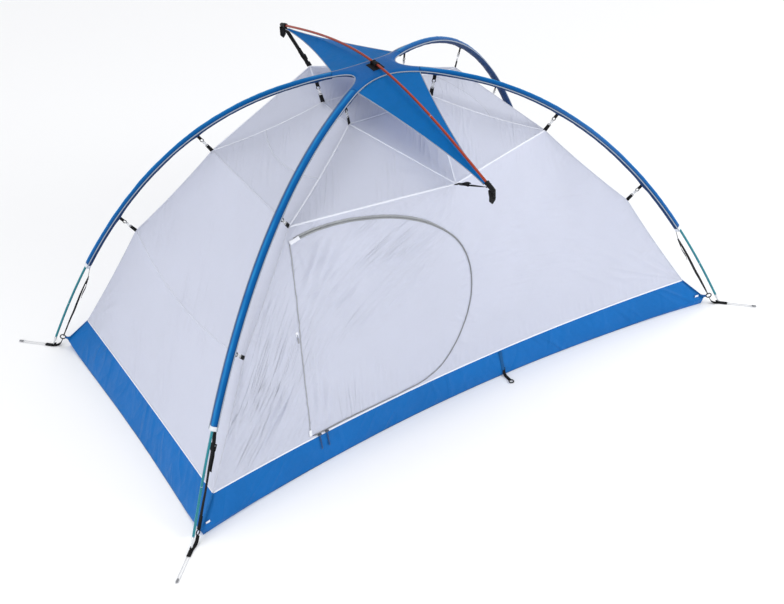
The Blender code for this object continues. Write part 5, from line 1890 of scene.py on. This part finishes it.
def sleeve(leg):
    """A tunnel of two strips, taut above with a painted highlight along the pole, darker below with painted
    shade, and a pale band at its end.
    """
    outwards, across = leg_directions(leg)
    seed = list(LEGS).index(leg) * 7
    piece = Piece(f"sleeve_{leg}_cloth")
    # the lower strip takes the darker underside look, painted shade
    for start, end, upper, lower in (
        (SLEEVE_START_R, BAND_START_R, "sleeve", "under"),
        (BAND_START_R, SLEEVE_END_R, "band", "band"),
    ):
        stations = np.linspace(start, end, max(4, int((end - start) / SLEEVE_STEP)))
        centre, _, normal = (v[:, None] for v in leg_stations(leg, stations))
        r = stations[:, None]
        settle = smooth(r, SLEEVE_START_R, SLEEVE_START_R + SETTLING)
        share, edge, slim = sleeve_edge(r)
        strips = upper_heights(r, settle, edge, seed), lower_heights(r, settle, edge, share, seed)
        for look, turn, (wide, height) in zip((upper, lower), (1, -1), strips):
            sideways = wide * slim * SLEEVE_HALF_WIDTH
            rows = centre + across * sideways[..., None] + normal * height[..., None]
            piece.add(skin(rows[:, ::turn]), look, closed=False)
    obj = piece.done("tent", f"sleeve_{leg}", "blue_fabric", thickness=0.0006)


ROUND = ("front_right", "back_right", "back_left", "front_left")
HUB_SIDES = list(zip(ROUND, ROUND[1:] + ROUND[:1]))


def hub_curve(leg, following, half, margin=0.0, count=25):
    """The concave side of the hub between two arms, in plan."""
    outwards, across = leg_directions(leg)
    after, after_across = leg_directions(following)
    reach = HUB_ARM_R + margin
    start = outwards * reach + across * half * (1 if across @ after > 0 else -1)
    end = after * reach + after_across * half * (1 if after_across @ outwards > 0 else -1)
    middle = unit(outwards + after) * (HUB_WAIST + margin)
    t = np.linspace(0.0, 1.0, count)[:, None]
    return start * (1 - t) ** 2 + middle * 2 * t * (1 - t) + end * t**2


def hub_rise(points, gap, sign):
    """Height of the hub's upper or lower fabric: crowned between its seams."""
    r = np.hypot(points[:, 0], points[:, 1])
    crown = 1 - (1 - np.clip(gap / HUB_SEAM, 0.0, 1.0)) ** 2
    middle = arch_z(r) + EDGE_H
    if sign > 0:
        return middle + POLE_STACK * crossing_bump(r) + (SLEEVE_TOP - EDGE_H) * crown
    return middle - POLE_STACK * crossing_bump(r) * crown - (HUB_DEPTH + EDGE_H) * crown


def make_hub():
    """The hub's two fabrics, one over the poles and one under them, the lower one darker with painted shade."""
    curves = [hub_curve(a, b, HUB_SEAM) for a, b in HUB_SIDES]
    outline = np.concatenate([curve[:, :2] for curve in curves])
    flat, faces = triangulated([outline], [], 0.0045)
    seams = np.concatenate([spaced(curve[:, :2], 0.002) for curve in curves])
    _, gap = nearest(flat, seams)
    hub = Piece("hub_web_cloth")
    folds = 0.0007 * ridges(noise(flat[:, 0] / 0.016, flat[:, 1] / 0.05, 81)) * smooth(gap, 0.0, 0.012)
    # the lower fabric takes the darker underside look, painted shade
    for sign, look in ((1, "blue"), (-1, "under")):
        z = hub_rise(flat, gap, sign) + sign * folds
        points = np.concatenate([flat, z[:, None]], axis=1)
        turned_faces = faces if sign > 0 else faces[:, ::-1]
        uvs = flat[turned_faces.ravel()].tolist()
        hub.add((points, turned_faces.tolist(), uvs), look, closed=False)
    obj = hub.done("tent", "hub_web", "blue_fabric", thickness=0.0006)


def along_hub(leg, following, half, margin=0.0, count=25):
    """The hub's concave side, lifted to its seam's height."""
    line = hub_curve(leg, following, half, margin, count)
    r = np.hypot(line[:, 0], line[:, 1])
    line[:, 2] = arch_z(r) + EDGE_H + POLE_STACK * crossing_bump(r)
    return line


def make_piping():
    """Four pipings: each runs up one sleeve's edge, round the hub's hollow and down the next sleeve's."""
    piping = Piece("sleeve_piping")
    r = np.linspace(SLEEVE_START_R + 0.004, SLEEVE_END_R - 0.001, 130)
    for leg, following in HUB_SIDES:
        bridge = along_hub(leg, following, HUB_SEAM)
        runs = []
        for arm, corner_at in ((leg, bridge[0]), (following, bridge[-1])):
            _, across = leg_directions(arm)
            centre, _, normal = leg_stations(arm, r)
            share, edge, slim = (v[:, None] for v in sleeve_edge(r))
            aside = np.sign(corner_at @ across) * (HUB_SEAM * slim + 0.0012 * share)
            runs.append(centre + across * aside + normal * edge)
        line = np.concatenate([runs[0][::-1], bridge, runs[1]])
        piping.add(swept(line, disc(0.0019, 8), unit(line - UP * 0.2)), "piping")
    piping.done("tent", slot="blue_fabric")


def wing(side, word):
    """A wing of the hub: concave sides, creased under the ridge pole, gathered towards its end."""
    leg, following = HUB_SIDES[3] if side < 0 else HUB_SIDES[1]
    base = along_hub(leg, following, SLEEVE_HALF_WIDTH + 0.0016, 0.0016, 49) - UP * 0.0006
    u = np.linspace(-1.0, 1.0, len(base))
    v = np.linspace(0.0, 1.0, 71)[:, None]
    narrow = (1 - v) ** 1.45
    x = base[:, 0] * narrow + (1 - narrow) * 0.006 * np.abs(u) * np.sign(base[:, 0])
    y = base[:, 1] + (side * WING_END_Y - base[:, 1]) * v
    apex_z = ridge_z(WING_END_Y) - WING_END_DROP
    crease = 0.016 * (1 - np.abs(u)) * np.sin(np.pi * v)
    z = base[:, 2] + (apex_z - base[:, 2]) * v + crease
    inside = (1 - np.abs(u) ** 3) * np.clip(np.sin(np.pi * v), 0.0, None) ** 0.7
    pleats = ridges(noise(x / 0.012 + 3.0, v * 3.0, 91 + side)) * smooth(v, 0.45, 0.9)
    drag = ridges(noise((v * 0.62 + np.abs(x) * 1.5) / 0.022, x / 0.06, 93 + side))
    drag = drag * np.exp(-(((v - 0.62) / 0.14) ** 2))
    soft = noise(x / 0.05, v * 9.0, 95 + side)
    z = z - inside * (0.0022 * np.abs(pleats) + 0.0022 * np.abs(drag) + 0.0012 * (1 + soft))
    rows = np.stack([x, y, z], axis=2)
    if side > 0:
        rows = rows[:, ::-1]
    piece = Piece(f"wing_{word}_cloth")
    points, faces, _ = skin(rows)
    flat = points[:, :2]
    piece.add((points, faces, [tuple(flat[k]) for face in faces for k in face]), "wing", closed=False)
    obj = piece.done("tent", f"wing_{word}", "blue_fabric", thickness=CLOTH)
    hem = Piece(f"wing_hem_{word}")
    for column in (0, -1):
        hem.add(swept(rows[:, column], disc(0.0018, 8, 0.6), UP), "piping")
    hem = hem.done("tent", slot="blue_fabric")


KEEPER_BASE = CROWN_Z + SLEEVE_TOP + POLE_STACK + 0.0007
KEEPER_RISE = RIDGE_CROWN_Z - KEEPER_BASE


def make_keeper():
    """The webbing patch and moulded saddle that hold the ridge pole on the hub."""
    keeper = Piece("hub_keeper_saddle")
    y = np.linspace(-0.026, 0.026, 14)
    path = np.stack([0 * y, y, KEEPER_BASE - 0.6 * y**2], axis=1)
    keeper.add(swept(path, slab(0.046, 0.0018), UP), "webbing")
    angles = np.radians(np.linspace(-78.0, 258.0, 22))
    out = np.stack([np.cos(angles), 0 * angles, np.sin(angles)], axis=1)
    keeper.add(swept(UP * RIDGE_CROWN_Z + 0.0056 * out, slab(0.022, 0.0014), out), "webbing")
    for y_at in (-0.0135, 0.0135):
        place = frame_at((0.0, y_at, KEEPER_BASE + KEEPER_RISE / 2 - 0.001), X_AXIS, UP)
        hole = arc((0.0, KEEPER_RISE / 2 + 0.001), 0.0053, 0, 345, 24)
        saddle = plate(rounded_box(0.022, KEEPER_RISE + 0.014, 0.005), 0.0026, place, [hole], 0.0006)
        keeper.add(saddle, "plastic")
    keeper.done("tent", "hub_keeper", "black_plastic")


for leg_name in LEGS:
    sleeve(leg_name)
make_hub()
make_piping()
for side_sign, side_word in SIDES:
    wing(side_sign, side_word)
make_keeper()

# ---------------------------------------------------------------- clips


RING_OUT = 0.026  # from the sleeve's underside to the ring's middle
LINK_END = 0.052
TAB_STEP = 0.0035


def clip(leg, index, word):
    """A sewn tab under the sleeve, a ring, a clear hook and a tapered tab on the canopy's corner."""
    _, across = leg_directions(leg)
    centre, _, normal = (a[0] for a in leg_stations(leg, SLEEVE_CLIP_R[index]))
    top = centre - normal * (SLEEVE_BELOW + 0.001)
    bottom = mirrored(CANOPY_CLIPS[index], leg)
    hang = unit(bottom - top)
    tilt = math.acos(float(np.clip(hang @ -normal, -1.0, 1.0)))
    top = top + hang * (0.0065 * math.tan(tilt))
    length = float(np.linalg.norm(bottom - hang * 0.003 - top))
    place = frame_at(top, hang, np.cross(across, hang))
    side_axis = place[:3, 1]

    def at(x, z=0.0):
        return placed(place, (x, 0.0, z))

    piece = Piece(f"clip_{word}_{leg}_set")
    strap(piece, [at(-0.010), at(0.006), at(0.020)], side_axis, 0.0125, 0.0012)
    strap(piece, [at(0.003, 0.0012), at(0.018, 0.0012), at(0.021)], side_axis, 0.0100, 0.0010)
    loop_ring(piece, at(RING_OUT), 0.0060, 0.0015, across, "plastic")
    hook = [(RING_OUT + 0.0035, -0.0035), *arc((RING_OUT + 0.012, 0.0), 0.0052, 250, 290, 4)]
    hook += [(LINK_END - 0.006, -0.0035), (LINK_END - 0.001, -0.0050), (LINK_END + 0.003, -0.0052)]
    eye = arc((RING_OUT + 0.012, 0.0), 0.0026, 0, 345, 14)
    slot_hole = [(x + LINK_END - 0.0015, y) for x, y in rounded_box(0.0026, 0.0070, 0.0010)]
    piece.add(plate(other_half(hook, False), 0.0026, place, [eye, slot_hole], 0.0006), "clear")
    loop_ring(piece, at(RING_OUT + 0.0085), 0.0046, 0.0011, side_axis, "clear", stretch=0.8)
    x = np.arange(LINK_END - 0.0015, length + 0.004, TAB_STEP)
    x[-1] = length + 0.004
    share = (x - x[0]) / (x[-1] - x[0])
    width = 2 * (0.0064 + 0.0012 * share)
    section = slab(1.0, 1.0)[None] * np.stack([width, np.full(len(x), 0.0022)], axis=1)[:, None]
    piece.add(swept([at(v) for v in x], section, across), "webbing")
    piece.done("tent", f"clip_{word}_{leg}", "clip_plastic", sharp=40)


for leg_name in LEGS:
    for clip_index, clip_word in enumerate(CLIP_NAMES):
        clip(leg_name, clip_index, clip_word)

# ---------------------------------------------------------------- tub floor


TUB_STEPS = 90  # round each side
SIDE_AXES = (0, 1, 0, 1)  # the axis that each side faces along, as the perimeter meets them
LOW_Z = 0.0007
STAKE_X = 0.20
FLOOR_Z = 0.0008
FLOOR_SHRINKS = (0.97, 0.93, 0.86, 0.75, 0.6, 0.4, 0.2, 0.06)  # rings under the floor


def tub_perimeter(corner, mid_x, mid_y, mid_z, steps=TUB_STEPS):
    """A closed line round the tub through its corners, bowed in on each side, from the front right corner."""
    points = []
    signs = ((1, -1), (1, 1), (-1, 1), (-1, -1))
    t = np.linspace(-1.0, 1.0, steps + 1)[:-1]
    bow, mix = 1 - t * t, (t + 1) / 2
    for a, b, axis in zip(signs, signs[1:] + signs[:1], SIDE_AXES):
        row = np.stack([sa * c * (1 - mix) + sb * c * mix for sa, sb, c in zip(a, b, corner)], axis=1)
        row[:, axis] -= a[axis] * (corner[axis] - (mid_x, mid_y)[axis]) * bow
        z = mid_z + (corner[2] - mid_z) * np.abs(t) ** 8
        points.append(np.column_stack([row, z]))
    return np.concatenate(points)


def tub_base():
    """The line round the tub where its wall meets the ground."""
    return tub_perimeter(FLOOR_CORNER, TUB_MID_X, TUB_MID_Y, LOW_Z)


def tub_top(steps=TUB_STEPS):
    """The line round the tub's top edge."""
    return tub_perimeter(TUB_TOP_CORNER, TUB_TOP_MID_X, TUB_TOP_MID_Y, TUB_CLOTH_Z, steps)


def tub_surface():
    """Rows round the tub, from its top edge down the wall, round the soft lower edge and under the floor."""
    base, top = tub_base(), tub_top()
    around = lengths(np.concatenate([base, base[:1]]))[:-1]
    t = np.abs(np.tile(np.linspace(-1.0, 1.0, TUB_STEPS + 1)[:-1], 4))
    to_corner = unit(base * (1.0, 1.0, 0.0))
    away = np.zeros_like(base)
    for k, axis in enumerate(SIDE_AXES):
        part = slice(k * TUB_STEPS, (k + 1) * TUB_STEPS)
        away[part, axis] = np.sign(base[part, axis].mean())
    away = unit(away + 0.4 * to_corner * (t**6)[:, None])
    inset = 1 - t**10
    rows = []
    for v in np.linspace(0.0, 1.0, 19):
        wave = 0.0020 * noise(around / 0.13, v * 1.2, 61) + 0.0011 * noise(around / 0.035, v * 2.5, 62)
        crease = 0.0020 * ridges(noise(around / 0.028 + v * 1.5, v * 1.1, 63)) * t**3
        pleat = 0.0011 * ridges(noise(around / 0.012, v * 1.6, 64)) * (1 - v)
        belly = 0.0035 * math.sin(math.pi * v)
        sway = (wave + crease + pleat) * smooth(v, 0.0, 0.25) * (1 - 0.7 * smooth(v, 0.75, 1.0))
        lift = UP * (0.0006 * v * (1 + wave / 0.002)[:, None])
        rows.append(top + (base - top) * v + away * ((sway + belly) * inset)[:, None] + lift)
    for v in np.linspace(0.15, 1.0, 6):
        shift = 0.010 * math.sin(v * math.pi / 2)
        row = base * (1 - shift / np.linalg.norm(base[:, :2], axis=1))[:, None]
        uneven = 0.0030 * (1 - v) * np.abs(noise(around / 0.05, 0, 65))
        row[:, 2] = base[:, 2] * (1 - v) ** 2 + FLOOR_Z + uneven
        rows.append(row)
    for shrink in FLOOR_SHRINKS:
        row = base * shrink
        row[:, 2] = FLOOR_Z + 0.0014 * np.maximum(noise(row[:, 0] / 0.12, row[:, 1] / 0.10, 66), 0.0)
        rows.append(row)
    return np.array(rows)


def tub_wall(x, side, v):
    """A point on the long side's wall, v of the way down it."""
    share = x / FLOOR_CORNER[0]
    low_y = TUB_MID_Y + (FLOOR_CORNER[1] - TUB_MID_Y) * share**2
    high = np.array((share * TUB_TOP_CORNER[0], side * tub_top_y(x), TUB_CLOTH_Z))
    low = np.array((x, side * low_y, LOW_Z + (FLOOR_CORNER[2] - LOW_Z) * abs(share) ** 8))
    return high + (low - high) * v


def tub_uvs(rows, floor_from):
    """UVs in metres: round and down the tub's wall, then the floor's own plane."""
    n, m = rows.shape[:2]
    down = np.concatenate([[0.0], np.cumsum(np.linalg.norm(np.diff(rows, axis=0), axis=2).mean(axis=1))])
    around = lengths(np.concatenate([rows[0], rows[0, :1]]))
    uvs = []
    for i in range(n - 1):
        for j in range(m):
            for a, b in ((i, j), (i + 1, j), (i + 1, j + 1), (i, j + 1)):
                uvs.append((around[b], down[a]) if i < floor_from else tuple(rows[a, b % m, :2]))
    return uvs


def make_tub():
    """The tub of one cloth, with a white binding on its top edge and taped corners."""
    rows = tub_surface()
    points, faces, _ = skin(rows, around=True)
    n, m = rows.shape[:2]
    uvs = tub_uvs(rows, n - len(FLOOR_SHRINKS) - 1) + [tuple(place) for place in rows[-1, :, :2]]
    faces.append(list(range((n - 1) * m, n * m)))
    tub = Piece("tub_floor_cloth").add((points, faces, uvs), "tub", closed=False)
    obj = tub.done("tent", "tub_floor", "tub_fabric", thickness=0.0006)
    trim = Piece("tub_top_binding")
    steps = 120
    top = tub_top(steps)
    top = np.concatenate([top, top[:1]])
    for k, axis in enumerate(SIDE_AXES):
        line = top[k * steps : (k + 1) * steps + 1]
        lean = UP * 0.35
        lean[axis] = np.sign(line[:, axis].mean())
        lean = unit(lean)
        trim.add(swept(line + lean * 0.0007 - UP * 0.0006, slab(0.0052, 0.0014, 0.45), lean), "binding")
    for leg, (sx, sy) in LEGS.items():
        high, low = mirrored(TUB_TOP_CORNER, leg), mirrored(FLOOR_CORNER, leg)
        strap(trim, [high, low + UP * 0.001], leg_directions(leg)[1], 0.0060, 0.0012, "tub_tape")
        at = low + (high - low) * 0.16 + np.array((-sx * 0.012, sy * 0.0012, 0.0))
        run = np.array((-sx * 0.016, -sy * 0.0010, 0.002))
        strap(trim, [at, at + run], UP, 0.0090, 0.0010, "binding")
    trim.done("tent", slot="tub_fabric")


def stake_loop(side, word):
    """Webbing sewn down the tub's wall that ends in a loop and an eye on the ground."""
    x, y = -side * STAKE_X, side * (TUB_MID_Y + 0.004)
    piece = Piece(f"stake_loop_{word}_webbing")
    bends = ((0, 0.034), (0.002, 0.012), (0.010, 0.0018), (0.040, 0.0012))
    route = np.array([(x, y + side * out, z) for out, z in bends])
    strap(piece, route, X_AXIS, 0.0120, radius=0.008)
    strap(piece, route[1:] + UP * 0.0019, X_AXIS, 0.0110, 0.0012, radius=0.008)
    loop_ring(piece, np.array((x, y + side * 0.049, 0.0024)), 0.0085, 0.0020, UP, "plastic")
    piece.done("tent", f"stake_loop_{word}", "webbing")
    tape = Piece(f"stake_tape_{word}")
    off = np.array((0.0, side * 0.0042, 0.0006))
    down = [tub_wall(x, side, v) + off for v in np.linspace(0.06, 0.80, 7)]
    strap(tape, down, X_AXIS, 0.0130, 0.0012, "blue_webbing")
    tape.done("tent", slot="tub_fabric")


make_tub()
for side_sign, side_word in SIDES:
    stake_loop(side_sign, side_word)

# ---------------------------------------------------------------- corner rigging

STRAP_TWIST = 0.55  # radians that a corner's strap turns about its length between its ends
CORNER_STRAP = 0.0150


def corner(leg):
    """The strap and buckle from the sleeve's end to the floor's corner, and the foot under the pole's tip."""
    outwards, across = leg_directions(leg)

    def at(r, z):
        return in_leg_plane(leg, r, z)

    a, b = at(BUCKLE_R, BUCKLE_Z), at(*STRAP_LOW)
    run = unit(b - a)
    inwards = np.cross(across, run)
    inwards = -inwards if inwards @ outwards > 0 else inwards
    webbing = Piece(f"corner_strap_{leg}_webbing")
    centre, _, normal = leg_stations(leg, np.linspace(0.985, 1.108, 14))
    under = centre - normal * (0.0118 + 0.0008 * np.sin(np.linspace(0, np.pi, 14)))[:, None]
    first = a + inwards * 0.001
    strap(webbing, [*under, at(1.1105, 0.358), first], across, CORNER_STRAP)
    strap(webbing, [first, a + run * 0.06, b], across, CORNER_STRAP, wave=0.0012, twist=STRAP_TWIST)
    bends = ((0.020, 0.0050), (0.050, 0.0085), (0.092, 0.0060), (0.105, 0.0075))
    tail = [a + run * down + inwards * off for down, off in bends]
    strap(webbing, tail, across, CORNER_STRAP, 0.0015, wave=0.002)
    lap = [b - run * 0.050 + inwards * 0.0017, b - run * 0.004 + inwards * 0.0015, b]
    strap(webbing, lap, across, 0.0140, 0.0014)
    tip = at(TIP_R, 0.0010)
    away = guy_direction(leg)
    foot = [at(1.2720, 0.0300), at(1.2830, 0.0100), at(1.2960, 0.0016), tip, tip + away * GUY_TAB]
    strap(webbing, foot, across, 0.0140)
    pad = [tip + away * 0.004 + UP * 0.0018, tip + away * (GUY_TAB + 0.003) + UP * 0.0016]
    strap(webbing, pad, np.cross(away, UP), CORNER_STRAP)
    pocket = [at(TIP_R - 0.012, 0.0085), at(TIP_R - 0.002, 0.0100), at(TIP_R + 0.004, 0.0040)]
    strap(webbing, pocket, across, 0.0130, 0.0014)
    loop_ring(webbing, at(RING_R, RING_Z), 0.0100, 0.0022, across, "plastic")
    webbing.done("tent", f"corner_strap_{leg}", "webbing")
    link = Piece(f"corner_link_{leg}")
    floor_at = mirrored(FLOOR_CORNER, leg)
    inside = floor_at - outwards * 0.018 + UP * 0.012
    ends = [inside, floor_at + UP * 0.006, at(RING_R - 0.010, RING_Z - 0.002)]
    strap(link, ends, across, 0.0130, 0.0014, "tub_tape", radius=0.004)
    link.done("tent", slot="tub_fabric")
    buckle = Piece(f"corner_buckle_{leg}_lock")
    span = float(np.linalg.norm(b - a))
    ladder_lock(buckle, a + run * span * 0.06 + inwards * 0.0029, run, across, 0.024)
    buckle.done("tent", f"corner_buckle_{leg}", "black_plastic", sharp=35)


for leg_name in LEGS:
    corner(leg_name)
